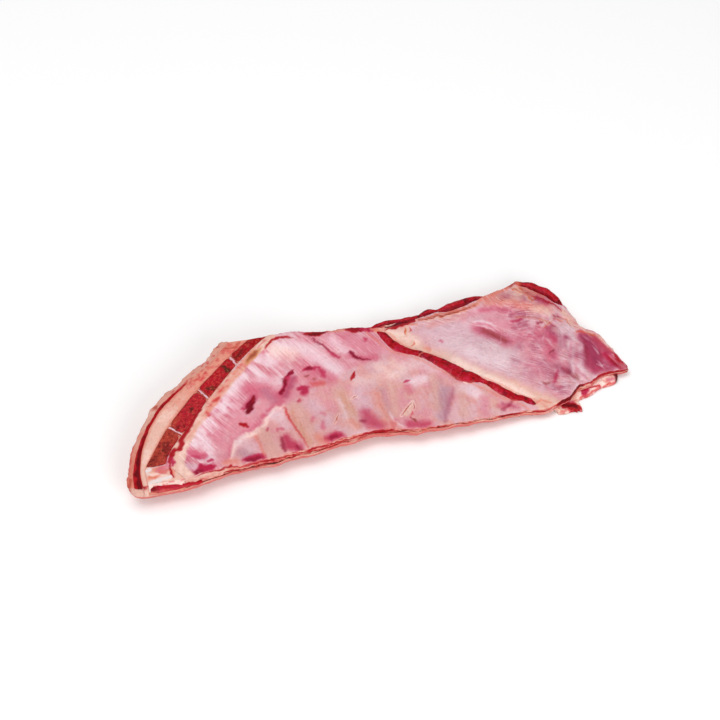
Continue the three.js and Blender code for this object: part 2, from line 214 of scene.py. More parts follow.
def read_at(column, row):
    """The plan point of a place in the net: rows go from the sawn front, 0, to the belly edge, 1."""
    s = np.clip(column - LAST_BONE_LINE, 0, 1)[:, None]
    r = row[:, None]
    ends = [line.at(np.array([t])) for line in (RIB_EDGE, BELLY_EDGE) for t in (0.0, 1.0)]
    shares = [(1 - s) * (1 - r), s * (1 - r), (1 - s) * r, s * r]
    corners = sum(end * share for end, share in zip(ends, shares))
    front_to_back = mix(RIB_EDGE.along(s[:, 0]), BELLY_EDGE.along(s[:, 0]), r)
    bone_to_end = mix(BONE_INSIDE.at(row), FLANK_END.at(row), s)
    face = front_to_back + bone_to_end - corners
    left = np.clip(np.floor(column), 0, LAST_BONE_LINE - 1)
    lines = np.stack([bone_line(k, row) for k in range(LAST_BONE_LINE + 1)])
    index = left.astype(int)
    pick = np.arange(len(row))
    strip = mix(lines[index, pick], lines[index + 1, pick], np.clip(column - left, 0, 1)[:, None])
    return np.where(column[:, None] > LAST_BONE_LINE, face, strip)


def stand(plan, z):
    """The plan points laid back along the line of sight to their heights."""
    level = np.concatenate([plan, np.full((len(plan), 1), float(READ_LEVEL))], 1)
    return level + (EYE - level) * ((z - READ_LEVEL) / (EYE[2] - READ_LEVEL))[:, None]


def top_at(column, row):
    plan = read_at(column, row)
    fall = BREASTBONE["lip"] * (1 - np.minimum(column / 2, 1)) ** 2
    bone = sawn_height(plan[:, 1]) - fall
    return np.where(column > LAST_BONE_LINE, inner_height(plan[:, 0], plan[:, 1]), bone)


def net_point(column, row):
    return stand(read_at(column, row), top_at(column, row))


def round_up(gap, reach):
    """A quarter circle that goes from 0 at reach to 1 where the gap closes."""
    left = 1 - np.minimum(gap / reach, 1)
    return 1 - np.sqrt(1 - left**2)


def outside_height(column, row):
    here = net_point(column, row)[:, :2]
    none = np.zeros(len(row))
    edges = [(column, none), (column, none + 1), (none, row), (none + FLANK_COLUMN, row)]
    cubes = 0
    for (heights, change, reach), edge in zip(OUTSIDE_RISES, edges):
        gap = np.linalg.norm(net_point(*edge)[:, :2] - here, axis=1)
        cubes = cubes + (mix(*heights, ease(*change, here[:, 0])) * round_up(gap, reach)) ** 3
    return np.cbrt(cubes)


# ------------------------------------------------------------------ chance, marks and fibres

LAYERS, CELLS = 16, 64
LATTICE = np.random.default_rng(SEED).random((LAYERS, CELLS, CELLS)) * 2 - 1


def cloud(x, y, size, layer=0):
    """Smooth chance from -1 to 1 whose hills are about size across."""
    u, v = np.asarray(x) / size, np.asarray(y) / size
    i, j = np.floor(u).astype(int), np.floor(v).astype(int)
    fu, fv = u - i, v - j
    fu, fv = fu * fu * (3 - 2 * fu), fv * fv * (3 - 2 * fv)
    heights = LATTICE[layer % LAYERS]
    left, right = i % CELLS, (i + 1) % CELLS
    below, above = j % CELLS, (j + 1) % CELLS
    near = mix(heights[left, below], heights[right, below], fu)
    far = mix(heights[left, above], heights[right, above], fu)
    return mix(near, far, fv)


def rough(x, y, size, layer=0, octaves=3):
    """Chance with finer chance on top of it."""
    return sum(cloud(x, y, size / 2**k, layer + k) / 2**k for k in range(octaves))


def stroke(x, y, points, widths, soft=1.0):
    """How much a point is covered by a soft stroke along points, from 0 to 1."""
    if np.isscalar(widths):
        widths = [widths] * len(points)
    cover = np.zeros(np.shape(x))
    for (ax, ay), (bx, by), wa, wb in zip(points, points[1:], widths, widths[1:]):
        span = (bx - ax) ** 2 + (by - ay) ** 2
        t = np.clip(((x - ax) * (bx - ax) + (y - ay) * (by - ay)) / span, 0, 1)
        gap = np.hypot(x - ax - t * (bx - ax), y - ay - t * (by - ay))
        half = mix(wa, wb, t) / 2
        cover = np.maximum(cover, ease(half + soft, half - soft, gap))
    return cover


# ------------------------------------------------------------------ meshes

SLAB_DEPTH = 0.2  # how far a new mesh's underside lies below its grid, before it is put in place
SLAB_RINGS = 5
SHELL_RINGS = 12
SHELL_STEPS = (0.0, 0.3, 0.65, 1.0)  # how far each ring of a hidden underside has closed in
SHELL_HALF = 0.3  # half the length of the seam at which it closes


def finish_mesh(bm, name):
    mesh = bpy.data.meshes.new(name)
    bm.to_mesh(mesh)
    bm.free()
    for polygon in mesh.polygons:
        polygon.use_smooth = True
    piece = bpy.data.objects.new(name, mesh)
    bpy.context.scene.collection.objects.link(piece)
    return piece


def read_layer(piece, name):
    values = np.zeros(len(piece.data.vertices), np.float32)
    piece.data.attributes[name].data.foreach_get("value", values)
    return values.astype(float)


def place(piece, points):
    piece.data.vertices.foreach_set("co", (points * MM).astype(np.float32).ravel())
    piece.data.update()


def flat_grid(across, along, names):
    """A flat grid with a layer of each name: the first two say where each point is, across and along."""
    bm = bmesh.new()
    bmesh.ops.create_grid(bm, x_segments=across, y_segments=along, size=0.5)
    layers = [bm.verts.layers.float.new(k) for k in names]
    for vert in bm.verts:
        vert[layers[0]] = vert.co.x + 0.5
        vert[layers[1]] = vert.co.y + 0.5
    return bm, layers


def only(kind, made):
    return [g for g in made["geom"] if isinstance(g, kind)]


def sides_of(bm, under):
    return [e for e in bm.edges if (e.verts[0] in under) != (e.verts[1] in under)]


def slab(name, across, along):
    """A closed slab: its layer w goes from the top, 0, to the underside, 1."""
    bm, (_, _, w) = flat_grid(across, along, "uvw")
    made = bmesh.ops.extrude_face_region(bm, geom=bm.faces[:], use_keep_orig=True)
    under = set(only(bmesh.types.BMVert, made))
    for vert in under:
        vert[w] = 1.0
        vert.co.z = -SLAB_DEPTH
    bmesh.ops.subdivide_edges(bm, edges=sides_of(bm, under), cuts=SLAB_RINGS, use_grid_fill=True)
    bmesh.ops.recalc_face_normals(bm, faces=bm.faces[:])
    return finish_mesh(bm, name)


def shell(name, across, along):
    """As slab(), for a piece whose underside is hidden: it closes in a few rings, with c from 0 to 1."""
    bm, (u, v, w, c) = flat_grid(across, along, "uvwc")
    ring = [e for e in bm.edges if e.is_boundary]
    sides = None
    for share in SHELL_STEPS:
        made = bmesh.ops.extrude_edge_only(bm, edges=ring)
        ring = only(bmesh.types.BMEdge, made)
        verts = only(bmesh.types.BMVert, made)
        if sides is None:
            sides = sides_of(bm, set(verts))
            for edge in ring:
                edge.smooth = False
        for vert in verts:
            vert[w] = 1.0
            vert[c] = share
            vert.co.z = -SLAB_DEPTH * (1 + share / 2)
            vert.co.x = mix(vert[u] - 0.5, np.clip(vert[u] - 0.5, -SHELL_HALF, SHELL_HALF), share)
            vert.co.y = mix(vert[v] - 0.5, 0.0, share)
    bmesh.ops.subdivide_edges(bm, edges=sides, cuts=SHELL_RINGS, use_grid_fill=True)
    bmesh.ops.remove_doubles(bm, verts=bm.verts[:], dist=TINY)
    bmesh.ops.recalc_face_normals(bm, faces=bm.faces[:])
    return finish_mesh(bm, name)


def outwards(u, v, column, row):
    """The level direction that points out of the net at its edges, and zero inside it."""
    step = 0.03
    inner_column = column + step * (u < TINY) - step * (u > 1 - TINY)
    inner_row = row + step * (v < TINY) - step * (v > 1 - TINY)
    out = read_at(column, row) - read_at(inner_column, inner_row)
    reach = np.linalg.norm(out, axis=1, keepdims=True)
    return out / np.maximum(reach, TINY) * (reach > TINY)


def edge_wander(x, y):
    """How far the cut outline strays from its smooth line, in every layer alike."""
    ways = []
    for coarse, middle, fine in ((3, 7, 2), (5, 9, 6)):
        way = 0.5 * rough(x, y, 11, coarse) + 0.45 * cloud(x, y, 3.1, middle) + 0.25 * cloud(x, y, 1.5, fine)
        ways.append(way)
    clean_cut = ease(-172, -190, x)
    return np.stack(ways, -1) * (1 - 0.65 * clean_cut)[..., None]


def torn(x, y, height):
    """Chance that runs along a cut side and changes quickly down it."""
    return rough(x + 0.4 * height, y - 2 * height, 5, 3) + cloud(x, y + 2 * height, 1.6, 8)


def spread(share, values):
    """Reads evenly spaced values at a share of the way through them."""
    return np.interp(share, np.linspace(0, 1, len(values)), values)


def net_piece(piece, columns, rows, low, high=None, shape=None, bow=0.0, bow_at=(0, 1, 0)):
    """Lays a slab or shell over a stretch of the net and returns what its painting needs.

    low and high give its heights, and shape the relief of its top. Its sides bow out by bow, times what
    bow_at says from the top down.
    """
    u, v, w = (read_layer(piece, k) for k in "uvw")
    c = read_layer(piece, "c") if "c" in piece.data.attributes else np.zeros_like(u)
    column = spread(mix(u, np.clip(u, 0.5 - SHELL_HALF, 0.5 + SHELL_HALF), c), columns)
    row = spread(mix(v, 0.5, c), rows)
    plan = read_at(column, row)
    facts = {"u": u, "v": v, "w": w, "column": column, "row": row, "x": plan[:, 0], "y": plan[:, 1]}
    top = top_at(column, row)
    if shape is not None:
        top = top + shape(facts)
    to_edge = np.min([away(line, *plan.T) for line in (*FACE_EDGES, RIM)], axis=0)
    plan = plan + edge_wander(*plan.T) * ease(12, 0, to_edge)[:, None]
    ground = stand(plan, top)
    height = mix(top if high is None else high(facts, top), low(facts), w)
    if bow:
        bulge = bow * spread(w, bow_at) * (1 + 0.6 * torn(*plan.T, height)) * (c < TINY)
        ground[:, :2] += outwards(u, v, column, row) * bulge[:, None]
    ground[:, 2] = height
    facts["z"] = height
    place(piece, ground + CENTRE)
    return facts


def squared(turn, square):
    """A cosine or sine of a turn for an outline between an ellipse, at 2, and a box."""
    return np.sign(turn) * np.abs(turn) ** (2 / square)


def strand(name, path, widths, heights, steps, sides, lumps=0.0, seed=0, square=2.0):
    """A closed strand of meat along a path of (x, y, z), tapering to a point at both ends."""
    bm, (u, v) = flat_grid(steps, sides, "uv")
    for vert in bm.verts:
        turn = 2 * math.pi * vert[v]
        radius = 0.1 * math.sin(math.pi * min(max(vert[u], 0), 1)) ** 0.5
        vert.co = (vert[u], radius * math.cos(turn), radius * math.sin(turn))
    bmesh.ops.remove_doubles(bm, verts=bm.verts[:], dist=1e-5)
    bmesh.ops.recalc_face_normals(bm, faces=bm.faces[:])
    piece = finish_mesh(bm, name)
    t, around = read_layer(piece, "u"), read_layer(piece, "v") % 1.0
    line = Line(path, 300)
    ahead = line.along(np.minimum(t + 0.01, 1)) - line.along(np.maximum(t - 0.01, 0))
    side = np.stack([ahead[:, 1], -ahead[:, 0]], -1)
    side /= np.linalg.norm(side, axis=1, keepdims=True)
    angle = 2 * math.pi * around
    across, upward = squared(np.cos(angle), square), squared(np.sin(angle), square)
    far = t * line.length
    bump = 1 + lumps * rough(far, 6 * np.sin(angle) + 9 * np.cos(angle) + 40 * seed, 7, seed)
    taper = np.sqrt(np.clip(1 - np.abs(2 * t - 1) ** 14, 0, 1)) * bump / 2
    points = line.along(t)
    points[:, :2] += side * (across * spread(t, widths) * taper)[:, None]
    points[:, 2] += upward * spread(t, heights) * taper
    place(piece, points + CENTRE)
    return {"piece": piece, "t": t, "far": far, "angle": angle, "up": upward, "across": across}


def give(piece, name, kind, values):
    """Stores a value for each point of a piece, for its material to read."""
    attribute = piece.data.attributes.new(name, kind, "POINT")
    field = {"FLOAT": "value", "FLOAT_VECTOR": "vector", "FLOAT_COLOR": "color"}[kind]
    attribute.data.foreach_set(field, np.asarray(values, np.float32).ravel())


# ------------------------------------------------------------------ materials

def tone(code):
    """The shader's colour for a colour written as on paper, such as "d9a0a8"."""
    parts = [int(code[k : k + 2], 16) / 255 for k in (0, 2, 4)]
    return (*[p / 12.92 if p <= 0.04045 else ((p + 0.055) / 1.055) ** 2.4 for p in parts], 1.0)


class Finish:
    """A material being put together, with one method for each kind of node that the meat needs."""

    def __init__(self, name):
        self.material = bpy.data.materials.new(name)
        self.material.use_nodes = True
        self.tree = self.material.node_tree
        self.tree.nodes.clear()
        self.out = self.tree.nodes.new("ShaderNodeOutputMaterial")
        self.shader = self.tree.nodes.new("ShaderNodeBsdfPrincipled")
        self.tree.links.new(self.shader.outputs["BSDF"], self.out.inputs["Surface"])

    def set(self, socket, value):
        if isinstance(value, bpy.types.NodeSocket):
            self.tree.links.new(value, socket)
        else:
            socket.default_value = value

    def painted(self):
        """The piece's own paint: its colour, and how fibrous it is."""
        node = self.tree.nodes.new("ShaderNodeAttribute")
        node.attribute_name = "paint"
        return node.outputs["Color"], node.outputs["Alpha"]

    def place(self, name=None, scale=(1, 1, 1)):
        """Where a pattern lies: on the object itself, or along an attribute of the piece."""
        if name is None:
            source = self.tree.nodes.new("ShaderNodeTexCoord").outputs["Object"]
        else:
            node = self.tree.nodes.new("ShaderNodeAttribute")
            node.attribute_name = name
            source = node.outputs["Vector"]
        mapping = self.tree.nodes.new("ShaderNodeMapping")
        self.tree.links.new(source, mapping.inputs["Vector"])
        mapping.inputs["Scale"].default_value = scale
        return mapping.outputs["Vector"]

    def noise(self, where, size, detail=3.0, roughness=0.55):
        node = self.tree.nodes.new("ShaderNodeTexNoise")
        self.tree.links.new(where, node.inputs["Vector"])
        node.inputs["Scale"].default_value = 1 / size
        node.inputs["Detail"].default_value = detail
        node.inputs["Roughness"].default_value = roughness
        return node.outputs["Fac"]

    def cells(self, where, size):
        node = self.tree.nodes.new("ShaderNodeTexVoronoi")
        self.tree.links.new(where, node.inputs["Vector"])
        node.inputs["Scale"].default_value = 1 / size
        return node.outputs["Distance"]

    def span(self, value, start, end, low=0.0, high=1.0):
        node = self.tree.nodes.new("ShaderNodeMapRange")
        self.set(node.inputs["Value"], value)
        for name, number in (("From Min", start), ("From Max", end), ("To Min", low), ("To Max", high)):
            self.set(node.inputs[name], number)
        return node.outputs["Result"]

    def sum(self, operation, a, b):
        node = self.tree.nodes.new("ShaderNodeMath")
        node.operation = operation
        self.set(node.inputs[0], a)
        self.set(node.inputs[1], b)
        return node.outputs["Value"]

    def blend(self, factor, under, over, mode="MIX"):
        node = self.tree.nodes.new("ShaderNodeMix")
        node.data_type = "RGBA"
        node.blend_type = mode
        self.set(node.inputs["Factor"], factor)
        self.set(node.inputs[6], under)
        self.set(node.inputs[7], over)
        return node.outputs[2]

    def bump(self, height, distance, strength=1.0):
        node = self.tree.nodes.new("ShaderNodeBump")
        self.set(node.inputs["Height"], height)
        node.inputs["Distance"].default_value = distance
        node.inputs["Strength"].default_value = strength
        return node.outputs["Normal"]

    def done(self, colour, roughness, normal, shine=0.15, film=0.05, flesh=0.2):
        """Joins it all: shine is the plain reflection, film the thin wet layer over it."""
        self.set(self.shader.inputs["Base Color"], colour)
        self.set(self.shader.inputs["Roughness"], roughness)
        self.set(self.shader.inputs["Normal"], normal)
        for name, number in (
            ("Specular IOR Level", shine), ("Coat Weight", film), ("Coat Roughness", 0.16),
            ("Subsurface Weight", flesh), ("Subsurface Scale", 0.002),
        ):
            self.shader.inputs[name].default_value = number
        self.shader.inputs["Subsurface Radius"].default_value = (1.0, 0.35, 0.2)
        return self.material


TONES = {  # red, green and blue of 255, as on paper
    "lilac": (220, 182, 193), "shell": (222, 162, 162), "pink": (220, 146, 162), "rose": (206, 88, 116),
    "magenta": (182, 26, 68), "wine": (136, 6, 40), "mauve": (156, 52, 86), "grey": (176, 134, 152),
    "blood": (166, 2, 18), "dried": (88, 0, 8), "black": (30, 6, 4), "pearl": (240, 216, 224),
    "frost": (228, 200, 208), "cream": (230, 188, 172), "white": (250, 224, 214), "beige": (220, 170, 160),
    "salmon": (226, 130, 112), "coral": (206, 64, 66), "orange": (206, 88, 52), "fat": (222, 140, 120),
    "brown": (140, 46, 36), "brick": (176, 58, 44), "ruby": (188, 28, 44), "cherry": (186, 14, 34),
    "olive": (64, 36, 14), "ochre": (202, 132, 84), "ice": (232, 222, 222),
}
RELIEF = {  # how far each tone's marks stand out, in millimetres
    "pearl": 0.15, "white": 0.2, "salmon": 0.1, "orange": 0.15, "magenta": -0.12, "wine": -0.3, "blood": -0.1,
    "dried": -0.35, "black": -0.6, "brown": -0.15, "olive": -0.3,
}
DARK = ("wine", "blood", "dried", "black", "brown", "magenta", "mauve", "olive", "coral", "rose")
FILM = (0.975, 0.955, 0.955)  # how much deeper the paint is laid, as the wet film pales it again


class Paint:
    """Coats of named tones over the points of a piece, with the relief that goes with them."""

    def __init__(self, x, ground):
        self.colour = np.tile(np.array(TONES[ground], float) / 255, (len(x), 1))
        self.relief = np.zeros(len(x))
        self.grain = np.zeros(len(x))

    def lay(self, tone_name, cover, relief=None):
        cover = np.clip(cover, 0, 1)
        self.colour = mix(self.colour, np.array(TONES[tone_name]) / 255, cover[:, None])
        self.relief += cover * (RELIEF.get(tone_name, 0.0) if relief is None else relief)

    def marks(self, x, y, marks):
        """Marks as tone, strength, softness, width or widths, and points, with edges that wander a little."""
        wx = x + 0.8 * cloud(x, y, 3.4, 4) + 0.45 * cloud(x, y, 1.4, 6)
        wy = y + 0.8 * cloud(x, y, 3.4, 5) + 0.45 * cloud(x, y, 1.4, 7)
        for tone_name, strength, soft, widths, points in marks:
            cover = stroke(wx, wy, points, widths, soft) * strength
            self.lay(tone_name, cover)
            if tone_name in DARK:
                self.grain *= 1 - cover
            elif tone_name in ("pearl", "white"):
                self.grain *= 1 - 0.6 * cover

    def linear(self):
        """The painted colour as the shader reads it."""
        c = np.clip(self.colour * FILM, 0, 1)
        return np.where(c <= 0.04045, c / 12.92, ((c + 0.055) / 1.055) ** 2.4)


def soft_flesh(name, wet, grain, relief, spots, depth, light="f6e4ea", dark="c85a78", shine=0.15):
    """Meat or fat in the piece's own paint, broken up by fibres and flecks, under a thin wet film."""
    f = Finish(name)
    colour, fibrous = f.painted()
    where = f.place()
    strands = f.noise(f.place("fibre"), 1.0, 3.5, 0.7)
    fine = f.noise(where, grain, 4.0, 0.6)
    patchy = f.noise(where, 0.009, 3.0)
    brighter = (1.3, 1.22, 1.24, 1.0)
    pale_strands = f.sum("MULTIPLY", f.span(strands, 0.5, 0.7, 0.0, 0.75), fibrous)
    dark_strands = f.sum("MULTIPLY", f.span(strands, 0.5, 0.3, 0.0, 0.75), fibrous)
    colour = f.blend(pale_strands, colour, tone(light))
    colour = f.blend(dark_strands, colour, tone(dark), "MULTIPLY")
    colour = f.blend(f.span(fine, 0.54, 0.72, 0.0, spots), colour, tone("cc7078"), "MULTIPLY")
    colour = f.blend(f.span(fine, 0.46, 0.3, 0.0, spots), colour, brighter, "MULTIPLY")
    height = f.sum("ADD", f.sum("MULTIPLY", f.sum("MULTIPLY", strands, 0.9), fibrous), fine)
    dryness = f.span(patchy, 0.3, 0.7, wet, wet + 0.16)
    return f.done(colour, dryness, f.bump(height, relief, 0.6), shine=shine, film=shine / 3, flesh=depth)


def sawn_bone():
    """Spongy red bone, as the saw leaves it."""
    f = Finish("sawn_spongy_bone")
    colour, _ = f.painted()
    where = f.place()
    sponge = f.noise(where, 0.0024, 5.0, 0.8)
    pores = f.cells(where, 0.0013)
    colour = f.blend(f.span(sponge, 0.52, 0.66, 0.0, 0.75), colour, tone("cc5c48"))
    colour = f.blend(f.span(sponge, 0.47, 0.34, 0.0, 0.8), colour, tone("3c0606"))
    colour = f.blend(f.span(pores, 0.35, 0.1, 0.0, 0.5), colour, tone("5c1408"), "MULTIPLY")
    height = f.sum("SUBTRACT", sponge, f.sum("MULTIPLY", pores, 0.5))
    return f.done(colour, 0.5, f.bump(height, 0.0009, 0.8), shine=0.1, film=0.04, flesh=0.03)


MATERIALS = {
    "flesh": soft_flesh("flesh_under_membrane", wet=0.3, grain=0.0020, relief=0.0004, spots=0.3, depth=0.1),
    "fat": soft_flesh("cold_fat", wet=0.36, grain=0.0018, relief=0.0004, spots=0.35, depth=0.15),
    "muscle": soft_flesh(
        "raw_muscle", wet=0.3, grain=0.0012, relief=0.0004, spots=0.7, depth=0.03, light="cc2040",
        dark="8c1020", shine=0.08,
    ),
    "cartilage": soft_flesh("wet_cartilage", wet=0.26, grain=0.0024, relief=0.0002, spots=0.2, depth=0.15),
    "bone": sawn_bone(),
}


def dress(piece, finish, node, paint, fibre=None):
    """Gives a piece its paint, material and place in the frame."""
    if fibre is None:
        fibre = np.zeros((len(paint.grain), 3))
    give(piece, "paint", "FLOAT_COLOR", np.concatenate([paint.linear(), paint.grain[:, None]], 1))
    give(piece, "fibre", "FLOAT_VECTOR", fibre)
    for layer in "uvwc":
        if layer in piece.data.attributes:
            piece.data.attributes.remove(piece.data.attributes[layer])
    piece.data.materials.append(MATERIALS[finish])
    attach(piece, "root")
    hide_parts(node)


# ------------------------------------------------------------------ heights of the layers

SUNK = 0.3  # how far a piece goes down into the fat that it lies on
THIN_MUSCLE_END = 1.994  # the column at which the thin muscle stops
THINNING_REACH = 12
ROUNDING = 1.4  # radius of the wall's upper edge


def underside(facts):
    """The height of the outside; the fat thins out under the sawn front, behind the breastbone."""
    column, row, x, y = (facts[k] for k in ("column", "row", "x", "y"))
    front = net_point(column, 0 * column)[:, :2]
    from_front = np.linalg.norm(front - np.stack([x, y], -1), axis=1)
    thinning = 2 * ease(-180, -160, x) * ease(-105, -145, x)
    return outside_height(column, row) + thinning * round_up(from_front, THINNING_REACH)


def fat_top(facts):
    """The fat is FAT thick, and comes up below the thin muscle towards the sawn front."""
    column, row = facts["column"], facts["row"]
    fat = outside_height(column, row) + FAT
    below_muscle = mix(top_at(column, row) - MUSCLE_DEPTH, fat, ease(0.02, 0.16, row))
    return np.where(column < THIN_MUSCLE_END, np.maximum(fat, below_muscle), fat)


def on_fat(facts):
    return fat_top(facts) - SUNK


def below_edge(facts):
    """How far a point lies below the smooth top of the net."""
    return top_at(facts["column"], facts["row"]) - facts["z"]


def fine_steps(start, end, count):
    return np.linspace(start, end, count + 1)


def near_edge(facts, reach):
    """From 1 at the outline of the inner face to 0 at reach from it."""
    gap = np.min([away(line, facts["x"], facts["y"]) for line in FACE_EDGES], axis=0)
    return np.clip(1 - gap / reach, 0, 1)


def rounded(closeness, radius):
    return -radius * (1 - np.sqrt(np.clip(1 - closeness**2, 0, 1)))


# ------------------------------------------------------------------ wall of the breast

# Marks on the inner face: tone, strength, softness, width or widths, and points along each.
FAN_MARKS = [
    ("pearl", 0.7, 3, 7, [(-142, -6), (-138, -24), (-137, -38)]),
    ("pearl", 0.7, 3, 7, [(-118, 5), (-108, 23), (-91, 36)]),
    ("pearl", 0.7, 4, 9, [(-76, 50), (-66, 43)]),
    ("rose", 0.45, 4, 9, [(-89, 23), (-75, 24)]),
    ("rose", 0.4, 4, 8, [(-48, 30), (-40, 17)]),
    ("rose", 0.55, 5, 12, [(-2, 50), (6, 42), (15, 34)]),
    ("pearl", 0.85, 5, 13, [(-58, 57), (-44, 54), (-34, 44), (-27, 31), (-20, 20)]),
    ("pearl", 0.7, 4, 9, [(-14, 52), (-9, 40), (-4, 30)]),
    ("pearl", 0.6, 4, 9, [(-80, 28), (-66, 20)]),
    ("white", 0.7, 5, 12, [(-62, 54), (-50, 46)]),
    ("pink", 0.8, 6, 14, [(-104, 2), (-92, 22), (-80, 14), (-66, 6)]),
    ("rose", 0.7, 5, 10, [(-92, 20), (-82, 15), (-74, 8)]),
    ("rose", 0.7, 4, 8, [(-74, 2), (-64, 10), (-57, 20)]),
    ("mauve", 0.5, 3, 5, [(-66, 6), (-60, 14), (-55, 22)]),
    ("grey", 0.45, 4, 7, [(-80, 14), (-76, 4)]),
    ("rose", 0.5, 4, 9, [(-36, 24), (-26, 12)]),
    ("magenta", 0.55, 2.0, 8, [(-98, 2), (-91, 11)]),
    ("wine", 1.0, 0.6, [3.5, 6, 5, 2.5], [(-98, -1), (-96, 3), (-92.5, 8), (-89.5, 12.5)]),
    ("dried", 0.4, 0.8, [2, 3, 1.5], [(-98, -1), (-95, 3), (-92, 7)]),
    ("blood", 0.5, 0.8, [1, 2], [(-93, 7), (-90, 12)]),
    # painted highlight: a tiny white glint on the wet wine-coloured mark
    ("white", 0.9, 0.5, 1.2, [(-99.5, 0.5), (-98.8, 1.2)]),
    ("blood", 0.95, 0.8, [3, 4, 2], [(-106.5, -11.2), (-104.7, -13), (-102, -15)]),
    ("magenta", 0.6, 1.0, 2, [(-102, 3.5), (-100.5, 3)]),
    ("magenta", 0.8, 1.2, [3, 4, 4, 2], [(-69, 9.5), (-63, 16), (-60.5, 22), (-54, 29.5)]),
    ("wine", 0.95, 0.7, [3, 2, 3, 1.6], [(-68.8, 9.8), (-65, 13), (-62.5, 18), (-61, 22.5)]),
    ("wine", 0.9, 0.6, [2, 1], [(-62.5, 17.5), (-64.5, 24)]),
    ("wine", 0.9, 0.7, [1.5, 3, 1], [(-59, 25), (-56.5, 27.5), (-53, 30)]),
    ("magenta", 0.8, 1.2, [2, 4, 3, 1], [(-45, 27), (-41, 28), (-37, 27), (-33, 26)]),
    ("wine", 0.8, 0.8, [1, 2.6, 1], [(-43, 27), (-40.5, 28.3), (-37.5, 27)]),
    ("magenta", 0.7, 1.6, [2, 4, 2], [(-33, 26), (-31, 21), (-32, 15)]),
    ("brown", 0.6, 0.8, 1.6, [(-46, 20.6), (-43, 21)]),
    ("brown", 0.5, 0.8, 1.4, [(-40, 17), (-38.5, 15.5)]),
    ("magenta", 0.9, 1.6, [5, 7, 5], [(-53, 10), (-49.5, 8), (-51, 4.5)]),
    ("magenta", 0.7, 1.2, 2.5, [(-57.5, -2), (-56, -1)]),
    ("coral", 0.6, 2.0, 5, [(-42, 11), (-34, 9.5)]),
    ("rose", 0.8, 1.4, 3, [(-82, -4.6), (-81, -4)]),
    ("rose", 0.8, 1.6, 4, [(-87.5, -10), (-86, -9)]),
    ("pink", 0.8, 8.0, 14, [(2, 44), (14, 34), (24, 30)]),
    ("rose", 0.7, 3.0, 6, [(-6, 31), (4, 26), (14, 23)]),
    ("wine", 0.9, 0.9, [2, 3.6, 2, 1], [(-4, 35), (-1.5, 29), (3, 25), (9, 23)]),
    ("wine", 0.8, 0.9, [1, 2.5, 1], [(-29, 57), (-22, 45), (-16, 34)]),
    ("magenta", 0.7, 1.4, [2, 4, 3], [(-20, 40), (-17, 35), (-14, 32)]),
    ("magenta", 0.6, 1.4, 3, [(12, 45), (11, 43)]),
    ("blood", 1.0, 0.5, [1.4, 3, 1], [(-11.3, 6.5), (-9, 10.5), (-6.5, 14.5)]),
    ("magenta", 1.0, 1.6, [5, 8, 6], [(-152, -47), (-146.5, -45), (-139, -45.5)]),
    ("wine", 0.8, 1.0, [2, 4, 2], [(-154, -48), (-150, -46.5), (-146, -47)]),
    ("magenta", 0.8, 1.0, 2.4, [(-139.5, -38.6), (-136.5, -39.6)]),
    ("rose", 0.85, 1.6, [4, 7, 6], [(-151, -27), (-147, -31), (-142, -33)]),
    ("magenta", 0.5, 1.2, 3, [(-151, -31), (-146, -34)]),
    ("lilac", 0.8, 1.6, 6, [(-156, -38), (-152, -42)]),
    ("magenta", 0.8, 0.8, 1.8, [(-160, -48), (-151, -50)]),
    ("blood", 0.95, 0.8, [1.5, 4, 4.5, 2], [(-136.5, -52), (-131, -51), (-125, -51), (-119.5, -52.5)]),
    ("wine", 0.7, 0.5, [1, 2.4, 1.6], [(-135, -51.6), (-129, -51), (-123, -51.5)]),
    ("pearl", 0.7, 0.4, 0.7, [(-131, -50.6), (-128, -52.4)]),
    ("pearl", 0.7, 0.4, 0.7, [(-126, -50.2), (-124, -52.4)]),
]
FAN_BORDER = [
    (-122, -41), (-114, -27), (-104, -24), (-97, -23), (-91, -18.5), (-85, -11), (-78, -5), (-70, -3),
]
PALE_TONGUES = [  # from the fat beside the breastbone inwards, with the width at the root
    [(-141, -9), (-131, -29), 7], [(-134, -1), (-130, -15), 4], [(-131, 4), (-125, -10), 4],
    [(-121, 9), (-109, -2), 6], [(-113, 12), (-101, 1), 6], [(-147, -18), (-137, -31), 5],
    [(-106, 22), (-98, 10), 4], [(-100, 30), (-95, 14), 4], [(-93, 34), (-80, 14), 5],
    [(-85, 42), (-72, 22), 5], [(-77, 48), (-62, 26), 6], [(-69, 50), (-60, 34), 5],
    [(-152, -28), (-144, -40), 4],
]
